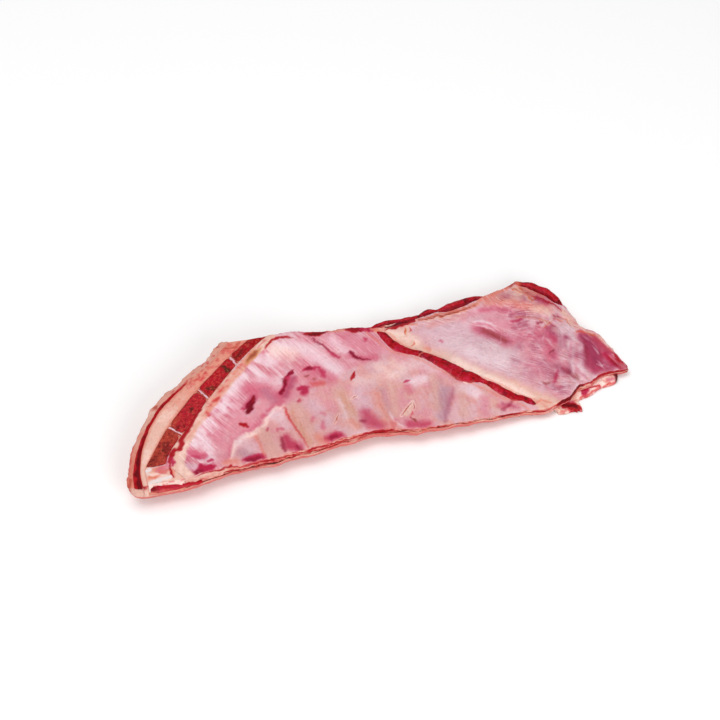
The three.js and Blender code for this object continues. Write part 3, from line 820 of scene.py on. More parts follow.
RIB_MARKS = [
    ("frost", 0.6, 5, 12, [(-110, -28), (-104, -37)]),
    ("grey", 0.6, 4, 7, [(-113, -38), (-108, -44)]),
    ("salmon", 0.7, 3, 5, [(-127, -45), (-119, -45)]),
    ("magenta", 0.95, 1.8, [4, 7, 5], [(-112, -46), (-105, -46.5), (-98, -46.5)]),
    ("wine", 0.8, 1.4, [2, 3.4, 2], [(-111, -47), (-106, -47.5), (-100, -47.5)]),
    ("beige", 0.85, 3, 10, [(-92, -25), (-90, -48)]),
    ("salmon", 0.7, 1.2, 2, [(-98, -26), (-96.5, -45)]),
    ("pearl", 0.6, 5, 9, [(-80, -12), (-74, -10)]),
    ("frost", 0.6, 3, 8, [(-77, -10), (-73, -24)]),
    ("magenta", 0.75, 3.5, [6, 9, 8], [(-77, -34), (-75, -42), (-70, -46)]),
    ("wine", 0.6, 1.6, [2, 3.5, 3], [(-80, -34), (-80, -40), (-80, -46)]),
    ("wine", 0.6, 1.6, 3.4, [(-70, -45), (-68, -48)]),
    ("rose", 0.8, 0.8, 1.4, [(-82, -27), (-81, -24), (-78, -24), (-76, -26)]),
    ("magenta", 0.6, 0.9, 1.8, [(-88.5, -23.5), (-87, -22)]),
    ("coral", 0.9, 0.9, [1.2, 2.2, 1.8, 1.2], [(-70, -4), (-68.5, -17), (-66.5, -28), (-61.5, -48)]),
    ("beige", 0.8, 3.5, 11, [(-61, -8), (-56, -46)]),
    ("ochre", 0.3, 2.5, 4, [(-66, -12), (-60, -44)]),
    ("lilac", 0.6, 4, 9, [(-46, -6), (-42, -32)]),
    ("rose", 0.6, 1.6, 3, [(-46, -33), (-44.7, -28)]),
    ("rose", 0.5, 1.6, 3, [(-52, -24), (-50.5, -22)]),
    ("rose", 0.5, 1.6, 3, [(-43, -19), (-41, -20)]),
    ("magenta", 0.9, 2.6, [5, 8, 5], [(-46, -45), (-40, -43.5), (-34, -44.5)]),
    ("wine", 0.6, 1.6, 3, [(-43, -44), (-38, -44)]),
    ("salmon", 0.6, 3, 6, [(-52, -41), (-49, -47)]),
    ("beige", 0.8, 3.5, 10, [(-24, -2), (-21, -38)]),
    ("ochre", 0.25, 3, 5, [(-22, -6), (-19, -26)]),
    ("pearl", 0.6, 2.0, 2.6, [(-27, -10), (-25, -34), (-19, -48)]),
    ("salmon", 0.5, 3, 6, [(-24, -33), (-20, -40)]),
    ("lilac", 0.7, 4, 8, [(-9, -2), (-8, -22)]),
    ("magenta", 0.6, 4.5, [8, 12, 10], [(-10, -28), (-9, -38), (-3, -45)]),
    ("wine", 0.6, 1.8, 3, [(-15, -35), (-13.5, -36)]),
    ("salmon", 0.35, 3.5, 8, [(3, -12), (4, -32), (2, -46)]),
    ("grey", 0.35, 3, 5, [(9, -10), (8, -34)]),
    ("beige", 0.85, 3.5, 7, [(18, -8), (12, -36)]),
    ("pearl", 0.8, 1.0, 1.2, [(7, -34), (10, -44), (14, -50)]),
    # painted highlight: the wet sheen on the membrane between two ribs
    ("pearl", 0.85, 4, 9, [(34, -9), (45, -9)]),
    ("pearl", 0.5, 4, 10, [(34, 8), (46, 8), (56, -2)]),
    # painted highlight: a pale swirl of wet sheen
    ("white", 0.5, 4, 9, [(14, 14), (22, 3), (30, 4), (26, 14)]),
    ("white", 0.35, 5, 9, [(-8, 4), (10, 4), (22, -2)]),
    ("magenta", 0.85, 0.7, [1.6, 2.2, 1], [(28.5, -7.5), (30.5, -6.5), (33, -6.5)]),
    ("rose", 0.5, 3, 6, [(30, -12), (30, -18)]),
    ("grey", 0.35, 4, 8, [(54, -16), (48, -34)]),
    ("beige", 0.7, 3, 6, [(52, -8), (45, -38)]),
    ("mauve", 0.5, 3.0, [2, 4, 4, 2], [(64, -24), (58, -34), (52, -44), (47, -54)]),
    ("grey", 0.6, 4, 8, [(58, -24), (46, -50)]),
    ("magenta", 0.6, 3, 7, [(20, -49), (33, -53)]),
    ("coral", 0.4, 3, 5, [(8, -44), (6, -50)]),
    ("beige", 0.7, 3, 6, [(69, -31), (63, -53)]),
    # painted highlight: wet sheen over a rib
    ("pearl", 0.85, 4, 9, [(76, -30), (80, -36)]),
    ("frost", 0.7, 4, 9, [(70, -26), (78, -28)]),
    ("pink", 0.8, 3, 7, [(84, -42), (80, -54)]),
    ("beige", 0.6, 3, 6, [(92, -44), (90, -54)]),
    ("rose", 0.7, 3.4, [3, 6, 3], [(92, -52), (98, -54), (106, -57)]),
    ("mauve", 0.6, 2.2, [1, 3, 1], [(96, -50), (100, -53), (103, -56)]),
]
CUTS = [  # nicks and tears: points, width; each is a dark slit with a pale lip on each side
    ([(-30.4, -23.6), (-33.5, -28), (-36.6, -31.6)], 0.7),
    ([(-17, -12), (-14, -10.2), (-12, -10.8)], 0.8),
    ([(28.8, -28.1), (22.5, -33.2), (15.9, -39.3)], 1.0),
    ([(28.6, -29.5), (28.6, -33.5), (26.6, -37)], 0.7),
]
TORN_FLAPS = [
    ("pink", 0.8, 1.2, [3, 4, 2], [(23, -27), (26, -27.5), (29, -28)]),
    ("cream", 0.9, 0.7, [1, 4, 5, 2.4], [(28, -29.5), (25, -33.5), (21.5, -37.5), (19, -40)]),
    ("coral", 0.8, 0.5, [0.7, 1.2, 0.7], [(26.6, -37), (24, -40.5), (21.5, -43)]),
    ("brown", 0.7, 0.5, [0.8, 1.6, 0.8], [(22.3, -42.8), (24.5, -45.5), (25.4, -48)]),
    ("cream", 0.9, 0.8, [2, 3, 2], [(44, 38), (47.5, 43), (48, 48)]),
    ("orange", 0.9, 0.5, [0.6, 1.3, 0.6], [(44.6, 40), (45.4, 43), (46, 46)]),
    ("coral", 0.9, 0.5, [0.8, 1.6, 0.8], [(48.6, 41.5), (49.4, 43.5), (49.4, 45.5)]),
    ("cream", 0.9, 0.8, [2, 2.4, 2], [(44.6, 26.5), (46.6, 29.5), (47.5, 32.5)]),
    ("orange", 0.9, 0.4, [0.6, 1.0, 0.6], [(45.6, 27), (48, 28.4), (48.6, 30.4)]),
]
# Lines of the flank that are both painted and raised.
END_FOLDS = [
    [(167, 9), (160, -12)], [(174, 12), (166, -11)], [(173.5, -1), (164, -26), (160, -37)],
    [(178.5, -8), (170, -30), (165, -44)],
]
TORN_SEAM = [(138, 31), (147, 27.5), (155, 22), (161, 15), (165, 4.5)]
TORN_SEAM_BRANCH = [(155, 15.5), (161, 20), (166, 23), (172, 17)]
CORNER_FLAP = [(143.5, 62), (149, 57), (153.5, 52), (155, 44.5)]
CORNER_FLAP_BACK = [(155, 44.5), (158.5, 47), (152, 56), (150, 61)]
BELLY_ROLLS = [[(84, 49.5), (98, 51), (111, 54)], [(33, 51), (45, 49), (56, 48)]]
# Raised ridges beside the hollow; their pearl paint below is a painted highlight along them.
HOLLOW_RIDGES = [[(101, 38), (110, 34.5), (117, 27)], [(102, 33), (109, 29), (115, 23)]]
FLANK_MARKS = [
    ("frost", 0.9, 10, 30, [(78, 26), (96, 8), (112, -6)]),
    ("lilac", 0.8, 8, 20, [(70, 38), (90, 36), (100, 20)]),
    ("pearl", 0.7, 5, 9, [(88, 8), (98, -4), (110, -10)]),
    ("pink", 0.8, 8, 20, [(118, 34), (134, 18), (140, -6), (134, -26)]),
    ("pink", 0.75, 4, 8, [(94, 44), (110, 47), (124, 46), (135, 38)]),
    ("magenta", 0.4, 3, 5, [(112, 47), (124, 46), (134, 38)]),
    ("salmon", 0.75, 5, 11, [(120, 56), (136, 51), (148, 40)]),
    ("salmon", 0.6, 5, 9, [(150, 38), (166, 36)]),
    ("cream", 0.7, 4, 9, [(132, 58), (146, 54)]),
    ("cream", 0.8, 4, 8, [(152, 34), (164, 30)]),
    ("rose", 0.7, 5, 11, [(103, 29), (112, 20), (121, 9)]),
    ("mauve", 0.5, 4, [5, 8, 4], [(104, 28), (112, 19), (121, 9)]),
    ("brown", 0.55, 3, [3, 5, 3], [(106, 26), (112, 20), (120, 10)]),
    # painted highlight: pale streaks along the raised ridges beside the hollow
    ("pearl", 0.9, 1.2, [1, 3, 1], HOLLOW_RIDGES[0]),
    ("pearl", 0.7, 1.0, [1, 2, 1], HOLLOW_RIDGES[1]),
    ("magenta", 0.7, 1.6, 3, [(132, 28.5), (139, 28.5)]),
    ("wine", 0.7, 1.2, 2.4, [(151.5, 21), (154.5, 20.6)]),
    ("rose", 0.7, 5, 10, [(146, 10), (154, 2), (150, -16)]),
    ("magenta", 0.6, 3, 5, [(156, 12), (158, 0)]),
    ("dried", 0.6, 0.8, [1, 1.6, 1], [(149, -12), (153, -10.5)]),
    ("magenta", 0.8, 1.6, [2, 4, 2], [(149, -32), (146.5, -36), (142, -41)]),
    ("brown", 0.7, 1.0, [1.6, 2.4, 1], [(139, -40.5), (137, -41.5), (134, -40)]),
    ("mauve", 0.4, 4, 8, [(140, -20), (144, -34)]),
    ("brown", 0.7, 2.0, [3, 5, 3], [(154, -31), (159, -38), (163.5, -45)]),
    ("mauve", 0.6, 4, 7, [(150, -26), (158, -36)]),
    ("cream", 0.7, 1.0, 1.4, TORN_SEAM),
    ("orange", 0.6, 0.8, 1.2, [(137, 32), (147, 28.6), (156, 23), (162, 16)]),
    ("cream", 0.7, 1.0, 1.4, TORN_SEAM_BRANCH),
    ("orange", 0.6, 0.8, 1.2, [(155, 14), (161, 18.4), (166, 21), (171, 16)]),
    ("frost", 0.8, 1.8, 3, END_FOLDS[0]),
    ("frost", 0.8, 1.8, 3, END_FOLDS[1]),
    ("frost", 0.85, 2.0, 4, END_FOLDS[2]),
    ("frost", 0.9, 2.0, 5, END_FOLDS[3]),
    ("pink", 0.7, 1.2, 2, [(170, -6), (161, -28)]),
    ("rose", 1.0, 5, 12, [(183, -3), (185, -22), (181, -35)]),
    ("mauve", 0.75, 4, 8, [(181, -8), (182, -22), (184, -32)]),
    ("magenta", 0.5, 4, 8, [(178, -22), (176, -38), (190, -39)]),
    ("mauve", 0.8, 2, [5, 9, 8, 5], [(181, -2), (184, -12), (184, -24), (180, -34)]),
    ("wine", 0.5, 1.6, [2, 3, 2], [(180.5, -9), (178, -20), (172.5, -35)]),
    ("wine", 0.35, 1.6, 3, [(189, -14), (188, -28)]),
    ("rose", 0.9, 2.4, 7, [(184, 2), (191, -10), (195, -24)]),
    ("mauve", 0.7, 2.4, 6, [(186, -2), (191, -12), (194, -24)]),
    ("mauve", 0.5, 4, 12, [(176, -24), (178, -36), (190, -38)]),
    ("coral", 0.35, 3, 7, [(191, -8), (196, -22)]),
    ("pearl", 0.35, 0.9, 0.8, [(185.5, -9), (187, -16), (186.3, -24)]),
    # painted highlight: faint glint left of the dark tip
    ("pearl", 0.3, 1.4, 1.2, [(184, -35), (190, -39)]),
    ("magenta", 0.9, 2.0, [5, 9, 5], [(191, -26), (196, -35), (201, -44)]),
    ("wine", 0.8, 1.6, [2, 5, 2], [(194, -34), (197, -38), (201, -44)]),
    # painted highlight: small glints left of the dark tip
    ("frost", 0.7, 0.6, 0.9, [(182, -34.5), (184, -36.6), (187, -36)]),
    ("blood", 0.95, 0.8, [1, 2.4, 2.4, 1], [(197.5, -25), (200, -31), (201.5, -38), (202.5, -45)]),
    ("cream", 0.9, 1.6, 3, [(181, 8), (184, 4), (190, -2), (195, -10), (199, -23)]),
    ("orange", 0.7, 1.0, 1.6, [(178, 3), (184, 1), (190, -5)]),
    ("cream", 0.9, 2.4, 6, [(175, 26), (178, 18), (181, 8)]),
    ("orange", 0.6, 0.8, 1.2, [(170, 22), (175, 18), (176, 10)]),
    ("brown", 0.6, 0.8, 1.4, [(166, 25), (170, 22)]),
    ("wine", 0.7, 0.8, 2, [(161, 15), (163, 14)]),
    ("fat", 0.9, 2.0, 6, [(150, 61), (158, 54), (164, 47)]),
    ("magenta", 0.7, 2.4, 5, [(159, 46), (166, 39)]),
    ("blood", 0.8, 0.8, [1, 2, 1.4, 1], [(155, 50), (163, 44), (170, 36), (175, 27)]),
    ("blood", 0.6, 2.0, [3, 6, 4], [(194, -30), (198, -36), (201, -44)]),
    ("cream", 0.95, 1.6, [5, 6, 3], [(146, 62), (151, 53), (155, 45)]),
    ("orange", 0.8, 0.7, 1.2, CORNER_FLAP),
    ("orange", 0.8, 0.7, 1.2, CORNER_FLAP_BACK),
    ("brick", 0.9, 1.4, 5, [(142, 66.5), (148, 68)]),
    ("fat", 0.8, 1.4, 3, [(113, 59.5), (128, 62), (141, 65)]),
    ("magenta", 0.5, 1.2, 2.4, [(69, 25.5), (70.5, 24.5)]),
    ("salmon", 0.6, 1.4, 3, [(55, 21), (58, 19)]),
    ("shell", 0.8, 3, 7, [(66, 44), (84, 45), (96, 47)]),
    ("fat", 0.9, 1.0, 2.2, BELLY_ROLLS[0]),
    ("fat", 0.9, 1.0, 2.2, BELLY_ROLLS[1]),
    ("white", 0.7, 4, 8, [(30, 46), (42, 40), (50, 30)]),
    ("white", 0.8, 3, 7, [(74, 2), (90, -18), (104, -32), (118, -50)]),
]
EDGE_MARKS = [
    ("blood", 0.95, 0.8, [1, 2, 2.4, 2, 1], [(-68, 59), (-62, 64), (-55, 66.5), (-49, 65), (-44.5, 62.5)]),
    ("blood", 0.95, 0.9, [3, 6, 5, 3], [(-33, 64), (-27, 61.5), (-22, 61), (-16, 62)]),
    ("dried", 0.8, 0.9, [1, 3, 2, 1], [(-31, 62), (-27, 61.5), (-22, 61), (-16, 61)]),
    ("fat", 0.95, 1.2, [3, 6, 5], [(-16, 62), (-9, 61), (-1, 60)]),
    ("brick", 0.8, 0.8, [1, 2, 1.4], [(-14, 63), (-8, 62.5), (-2, 61)]),
    ("blood", 1.0, 0.8, [5, 8, 6], [(2, 59), (7, 57), (10, 56)]),
    ("wine", 0.6, 1.0, [2, 4, 3], [(3, 58), (7, 56.5), (10, 55.5)]),
    ("magenta", 1.0, 1.2, [5, 7, 4], [(13, 56), (17, 54.5), (20, 52.5)]),
    ("salmon", 0.9, 1.2, 3, [(20, 54), (24, 51)]),
    ("blood", 0.8, 1.0, 2, [(22, 55), (30, 52.5)]),
    ("salmon", 0.8, 1.4, 2.6, [(22, 51), (28, 46)]),
    ("dried", 0.95, 0.6, [1.4, 2.2, 2, 1], [(31, 51.6), (40, 51.8), (48, 52.2), (56, 53)]),
    ("blood", 0.95, 0.6, [1, 2.4, 2.4, 1.6], [(30, 49.2), (38, 49.4), (48, 50), (56, 51.6)]),
    ("cream", 0.9, 0.7, [2, 2.6, 1.2], [(26, 50.5), (29.5, 51.5), (31, 50)]),
    ("fat", 0.95, 1.0, [2, 4, 5, 5, 2], [(58, 52), (68, 51.5), (82, 51), (98, 52), (112, 55.5)]),
    ("brick", 0.45, 1.2, [2, 3.4, 3.4, 2], [(60, 52), (76, 51), (92, 51), (108, 53.6)]),
    ("brown", 0.55, 0.6, [0.6, 1.4, 1.2, 0.6], [(60, 51.4), (74, 50.6), (90, 50.4), (104, 52.4)]),
    ("cream", 0.8, 0.6, [0.8, 1.2, 0.8], [(60, 49.4), (80, 48.4), (100, 49.8), (112, 53)]),
    ("salmon", 0.8, 1.4, 4, [(113, 58), (128, 61), (140, 64)]),
    ("white", 0.9, 0.7, 1.6, [(73.4, -21.5), (75, -22.5)]),
    ("pink", 0.8, 1.4, [3, 5, 2], [(68, -15), (72, -18.5), (78, -19)]),
    ("salmon", 0.7, 1.0, 2.4, [(120, -57), (126, -56), (132, -60)]),
    ("wine", 0.4, 1.2, 3, [(104, -49), (100, -54), (94, -56)]),
]
BESIDE_BONE = [
    ("cream", 1.0, 0.9, [8, 9, 10, 11], [(-146, -8), (-156.5, -22.5), (-162.5, -36), (-165.5, -53)]),
    ("white", 0.5, 2.0, [3, 4, 4], [(-150, -15), (-158, -28), (-162, -44)]),
    ("salmon", 0.5, 2.0, 4, [(-132, 4), (-118, 20), (-104, 34)]),
    ("salmon", 0.4, 2.0, 3, [(-150, -14), (-138, 0)]),
    ("coral", 0.9, 0.8, [1.6, 2.4, 1], [(-130, 7.5), (-129, 4)]),
    ("coral", 0.9, 0.8, [2, 2.6, 2], [(-122.5, 17.5), (-119.5, 17), (-117, 20)]),
    ("coral", 0.7, 0.7, 1.3, [(-126, 13), (-124, 14.5)]),
    ("coral", 0.6, 0.7, 1.2, [(-114.5, 24.5), (-111, 28)]),
    ("coral", 0.6, 0.7, 1.2, [(-108, 33), (-105, 35)]),
    ("blood", 0.95, 0.7, [1.4, 3, 3, 3, 2.6],
     [(-123, 25), (-129, 19), (-135, 11), (-141, 3.5), (-148, -5.5)]),
    ("blood", 0.95, 0.8, [3, 4, 5, 3], [(-148, -5.5), (-154, -12), (-155.5, -17), (-158, -22)]),
    ("blood", 0.95, 0.8, [4, 3, 4], [(-158, -22), (-161.5, -21), (-165, -25)]),
    ("blood", 0.95, 0.6, [3, 2, 1.6, 2, 1.2],
     [(-165, -25), (-168, -31), (-169.5, -36), (-169.8, -42), (-169, -47)]),
    ("magenta", 0.9, 0.8, [2, 4, 2], [(-166, -28), (-165.5, -32), (-166.5, -35)]),
    ("salmon", 0.7, 0.9, 2, [(-168, -37), (-167.6, -45)]),
    ("ochre", 0.9, 1.6, [3, 6, 5, 2], [(-86, 48), (-82, 52), (-77, 56), (-73, 58)]),
    ("brown", 0.6, 1.2, [1.5, 3, 2], [(-85, 50), (-81, 53), (-76, 57)]),
    ("frost", 0.8, 1.0, 1.4, [(-100, 43), (-92, 50), (-82, 60)]),
    ("coral", 0.5, 0.8, 1.2, [(-74, 60), (-66, 67)]),
]
# Ridges and furrows of the face: height, softness, width, points.
CREASES = [
    (0.9, 1.6, 2.4, END_FOLDS[0]), (0.9, 1.6, 2.4, END_FOLDS[1]), (1.0, 2.0, 3, END_FOLDS[2]),
    (1.3, 2.2, 4, END_FOLDS[3]), (0.7, 0.9, 1.2, TORN_SEAM), (0.7, 0.9, 1.2, TORN_SEAM_BRANCH),
    (-1.3, 2.4, 3, [(156, -33), (160, -40), (163.5, -45.4)]), (-0.6, 1.2, 1.6, [(149, -12), (153, -10.5)]),
    (-0.8, 1.6, 2.4, [(64, -24), (58, -34), (52, -44), (47, -54)]),
    (1.0, 0.9, 1.6, CORNER_FLAP), (1.0, 0.9, 1.6, CORNER_FLAP_BACK),
    (-0.9, 0.9, 1.4, [(142.5, 60), (148, 55), (151, 50)]),
    (0.8, 1.0, 1.4, BELLY_ROLLS[0]), (0.8, 1.0, 1.4, BELLY_ROLLS[1]),
    (-0.5, 1.2, 1.6, [(-70, -4), (-68.5, -17), (-66.5, -28), (-61.5, -48)]),
    (0.5, 1.2, 1.6, [(-27, -10), (-25, -34), (-19, -48)]), (0.5, 0.8, 1.0, [(7, -34), (10, -44), (14, -50)]),
    (0.5, 2.0, 3, FAN_BORDER), (-1.2, 1.6, 4, [(-98, -1), (-94, 5), (-90, 11)]),
    (-0.7, 1.2, 2, [(170, 22), (175, 18), (176, 10)]),
    (0.6, 1.0, 1.2, HOLLOW_RIDGES[0]), (0.5, 1.0, 1.2, HOLLOW_RIDGES[1]),
]
SKIRT_LINE = [
    (22, 49), (27, 42), (31, 32), (37, 24), (50, 15), (57, 8), (68, -5), (75, -15), (84, -21), (96, -34),
    (106, -47), (113, -51), (121, -61),
]
BEFORE_BORDER = [(-160, -51), (-135, -49)]  # the fan's edge before and after its pale border
AFTER_BORDER = [(-50, 4), (-20, 14), (10, 22), (30, 34)]
FAN_TURN = -66  # degrees: the way the fan's fibres run
FLANK_TURN = -40
WRINKLE_TURN = -74
BESIDE_FROM = (-169, -163)  # x over which the cream fat beside the breastbone sets in


def fibres_of(along, across):
    return np.stack([along, across, 0 * along], -1)


class Face:
    """The inner face seen from above: its zones, and the chance and fibres that its coats share."""

    def __init__(self, x, y):
        self.x, self.y = x, y
        skirt_x, skirt_y = zip(*SKIRT_LINE[::-1])
        self.past_skirt = x - np.interp(y, skirt_y, skirt_x)
        border_x, border_y = zip(*(BEFORE_BORDER + FAN_BORDER + AFTER_BORDER))
        above_border = y - np.interp(x, border_x, border_y) + 2.0 * rough(x, y, 8, 4)
        self.flank = ease(-1.5, 1.5, self.past_skirt)
        self.fan = (1 - self.flank) * ease(-3, 3, above_border)
        self.ribs = np.clip(1 - self.flank - self.fan, 0, 1)
        self.along, self.across = turned(x + 3 * cloud(x, y, 34, 11), y, FAN_TURN)
        coarse_streak = cloud(self.along / 16, self.across / 1.9, 1, 1)
        self.streak = coarse_streak + 0.6 * cloud(self.along / 9, self.across / 0.95, 1, 2)
        self.blotch = rough(x, y, 16, 8)
        self.small = rough(x, y, 5, 12)
        self.from_bone = away(BONE_INSIDE, x + 1.0 * cloud(x, y, 5, 3), y + 0.7 * cloud(x, y, 2.5, 5))
        self.beside = ease(9.5, 7, self.from_bone) * ease(*BESIDE_FROM, x)
        self.near_bone = ease(36, 12, self.from_bone + 6 * self.blotch)
        self.stringy = np.clip(0.25 + self.near_bone + 0.5 * ease(14, 34, y), 0, 1)
        loose_x, loose_y = x + 9 * cloud(x, y, 30, 2), y + 9 * cloud(x, y, 26, 8)
        self.flank_along, self.flank_across = turned(loose_x, loose_y, FLANK_TURN)
        self.hairs = cloud(self.flank_along / 9, self.flank_across / 1.7, 1, 11)
        slanted = self.flank_along + 0.5 * self.flank_across
        self.cross_hairs = cloud(slanted / 1.9, self.flank_across / 7, 1, 12)
        past_border = self.flank * ease(20, 34, self.past_skirt) * ease(178, 168, x)
        self.creased = past_border * (0.55 + 0.45 * rough(x, y, 12, 5))
        wrinkle_along, wrinkle_across = turned(x + 3 * cloud(x, y, 18, 3), y, WRINKLE_TURN)
        self.wrinkled = self.flank * ease(120, 150, x) * ease(40, 24, y)
        self.folds = cloud(wrinkle_along / 14, wrinkle_across / 2.6, 1, 6)

    def fibres(self):
        fan = fibres_of(self.along / 20, self.across / 1.2)
        ribs = fibres_of(self.y / 22, self.x / 2.4)
        flank = fibres_of(self.flank_along / 9, self.flank_across / 1.1)
        past_fan = np.where((self.flank > 0.5)[:, None], flank, ribs)
        return np.where((self.fan > 0.5)[:, None], fan, past_fan)


def lay_ground(paint, face):
    """The broad tones of the fan of muscle, the ribs and the flank."""
    fan, ribs, flank = face.fan, face.ribs, face.flank
    streak, blotch, small = face.streak, face.blotch, face.small
    paint.lay("pink", fan * (0.7 + 0.3 * blotch))
    paint.lay("lilac", fan * ease(0.0, 0.8, -blotch + 0.4 * small) * 0.6)
    paint.lay("rose", fan * ease(0.1, 0.8, -streak + 0.6 * blotch) * 0.5 * face.stringy)
    tongues = np.zeros(len(face.x))
    jagged_x, jagged_y = face.x + 1.5 * streak, face.y + 2.5 * streak
    for root, tip, width in PALE_TONGUES:
        tongues = np.maximum(tongues, stroke(jagged_x, jagged_y, [root, tip], [width, width * 0.3], 1.2))
    pale_streaks = ease(-0.1, 0.5, streak + 0.2 * small) * face.near_bone * 0.7
    paint.lay("pearl", fan * np.maximum(tongues * 0.9, pale_streaks))
    paint.lay("beige", ribs * np.clip(rib_ridges(face.x, face.y) * 1.2, 0, 1) * (0.45 + 0.3 * blotch))
    paint.lay("lilac", ribs * ease(0.0, 0.7, small * 0.6 + blotch) * 0.6)
    paint.lay("pink", ribs * ease(0.1, 0.8, -blotch + 0.6 * small) * 0.5)
    paint.lay("lilac", flank * ease(12, 30, face.past_skirt) * (0.7 + 0.3 * small))
    paint.lay("cream", flank * ease(24, 12, face.past_skirt + 4 * rough(face.x, face.y, 12, 9)))
    flank_grain = ease(14, 30, face.past_skirt) * (0.4 + 0.35 * rough(face.x, face.y, 10, 7))
    paint.grain = np.clip(fan * 0.7 * face.stringy + flank * flank_grain + ribs * 0.15, 0, 1)


def mark_fan_and_ribs(paint, face):
    x, y = face.x, face.y
    wander_x = x + 1.2 * cloud(x, y, 4, 4) + 0.8 * face.streak * face.fan
    wander_y = y + 1.2 * cloud(x, y, 4, 5) + 1.5 * face.streak * face.fan
    paint.lay("rose", face.fan * stroke(wander_x + 1, wander_y - 3, FAN_BORDER, 5, 3) * 0.5)
    paint.marks(x + 0.5 * face.streak, y + 0.5 * face.small, FAN_MARKS)
    paint.lay("white", stroke(wander_x, wander_y, FAN_BORDER, [2, 4, 5, 4, 3, 4, 3, 2], 1.8) * 0.85)
    paint.marks(x, y, RIB_MARKS)


def mark_flank(paint, face):
    x, y, creased, hairs = face.x, face.y, face.creased, face.hairs
    paint.lay("rose", creased * ease(0.1, 0.9, rough(x, y, 9, 10)) * ease(96, 120, x) * 0.55)
    paint.lay("frost", creased * ease(0.3, 0.9, hairs) * 0.6)
    paint.lay("rose", creased * ease(0.3, 0.9, -hairs) * ease(90, 116, x) * 0.5)
    paint.marks(x, y, FLANK_MARKS)
    paint.lay("mauve", creased * ease(105, 142, x) * np.clip(0.28 + 0.4 * rough(x, y, 7, 14), 0, 1))
    paint.lay("frost", creased * ease(0.45, 0.9, face.cross_hairs) * ease(100, 120, x) * 0.45)


def mark_fat_beside_bone(paint, face):
    x, y, along, across, beside = face.x, face.y, face.along, face.across, face.beside
    paint.lay("cream", beside)
    paint.grain *= 1 - beside
    paint.lay("white", beside * ease(-0.1, 0.5, cloud(along / 3, across / 3, 1, 9)) * 0.5)
    specked = beside * ease(-134, -122, x) * ease(-70, -84, x)
    paint.lay("salmon", specked * (0.3 + 0.4 * rough(x, y, 7, 3)))
    paint.lay("coral", specked * ease(0.4, 0.8, rough(along / 1.6, across, 2.2, 3)) * 0.6)
    paint.marks(x, y, BESIDE_BONE)


def cut_nicks(paint, face):
    """Each nick is a dark slit with a pale lip round it."""
    x, y = face.x, face.y
    for points, width in CUTS:
        lip = stroke(x, y, points, width * 2.6, 0.7)
        slit = stroke(x + 0.3 * cloud(x, y, 1.6, 3), y, points, [width * k for k in (0.2, 1.1, 0.4)], 0.35)
        paint.lay("white", lip * 0.7, 0.35)
        paint.lay("brick", slit, -0.8)


def line_skirt(paint, face):
    """A thin red-stained line along both sides of the skirt."""
    off = np.abs(face.past_skirt + 0.5) - 6.8 + 0.8 * cloud(face.x, face.y, 6, 9)
    paint.lay("salmon", ease(2.2, 0.6, np.abs(off)) * ease(60, 50, face.y) * 0.4)


def fold_face(paint, face):
    """Ridges, furrows and wrinkles; the wrinkles also get painted highlight on their tops and painted shade
    in their hollows.
    """
    x, y, folds = face.x, face.y, face.folds
    for height, soft, width, points in CREASES:
        paint.relief += height * stroke(x, y, points, width, soft)
    step = 0.7 * ease(10.5, 7.5, face.from_bone)
    seam = 0.6 * ease(2.0, 0.0, face.from_bone) * ease(-42, -30, y)
    paint.relief += ease(*BESIDE_FROM, x) * (step - seam)
    paint.relief += face.wrinkled * 0.5 * folds + face.creased * 0.12 * (face.hairs + face.cross_hairs)
    paint.relief += face.fan * 0.12 * face.streak + 0.2 * face.small * (0.4 + face.flank)
    # painted highlight on the wrinkle tops and painted shade in their hollows
    paint.lay("frost", face.wrinkled * ease(0.2, 0.9, folds) * 0.5)
    paint.lay("rose", face.wrinkled * ease(0.2, 0.9, -folds) * 0.35)


def paint_face(x, y):
    face = Face(x, y)
    paint = Paint(x, "shell")
    lay_ground(paint, face)
    mark_fan_and_ribs(paint, face)
    mark_flank(paint, face)
    mark_fat_beside_bone(paint, face)
    paint.marks(x, y, EDGE_MARKS)
    paint.marks(x, y, TORN_FLAPS)
    cut_nicks(paint, face)
    line_skirt(paint, face)
    fold_face(paint, face)
    return paint, face.fibres()


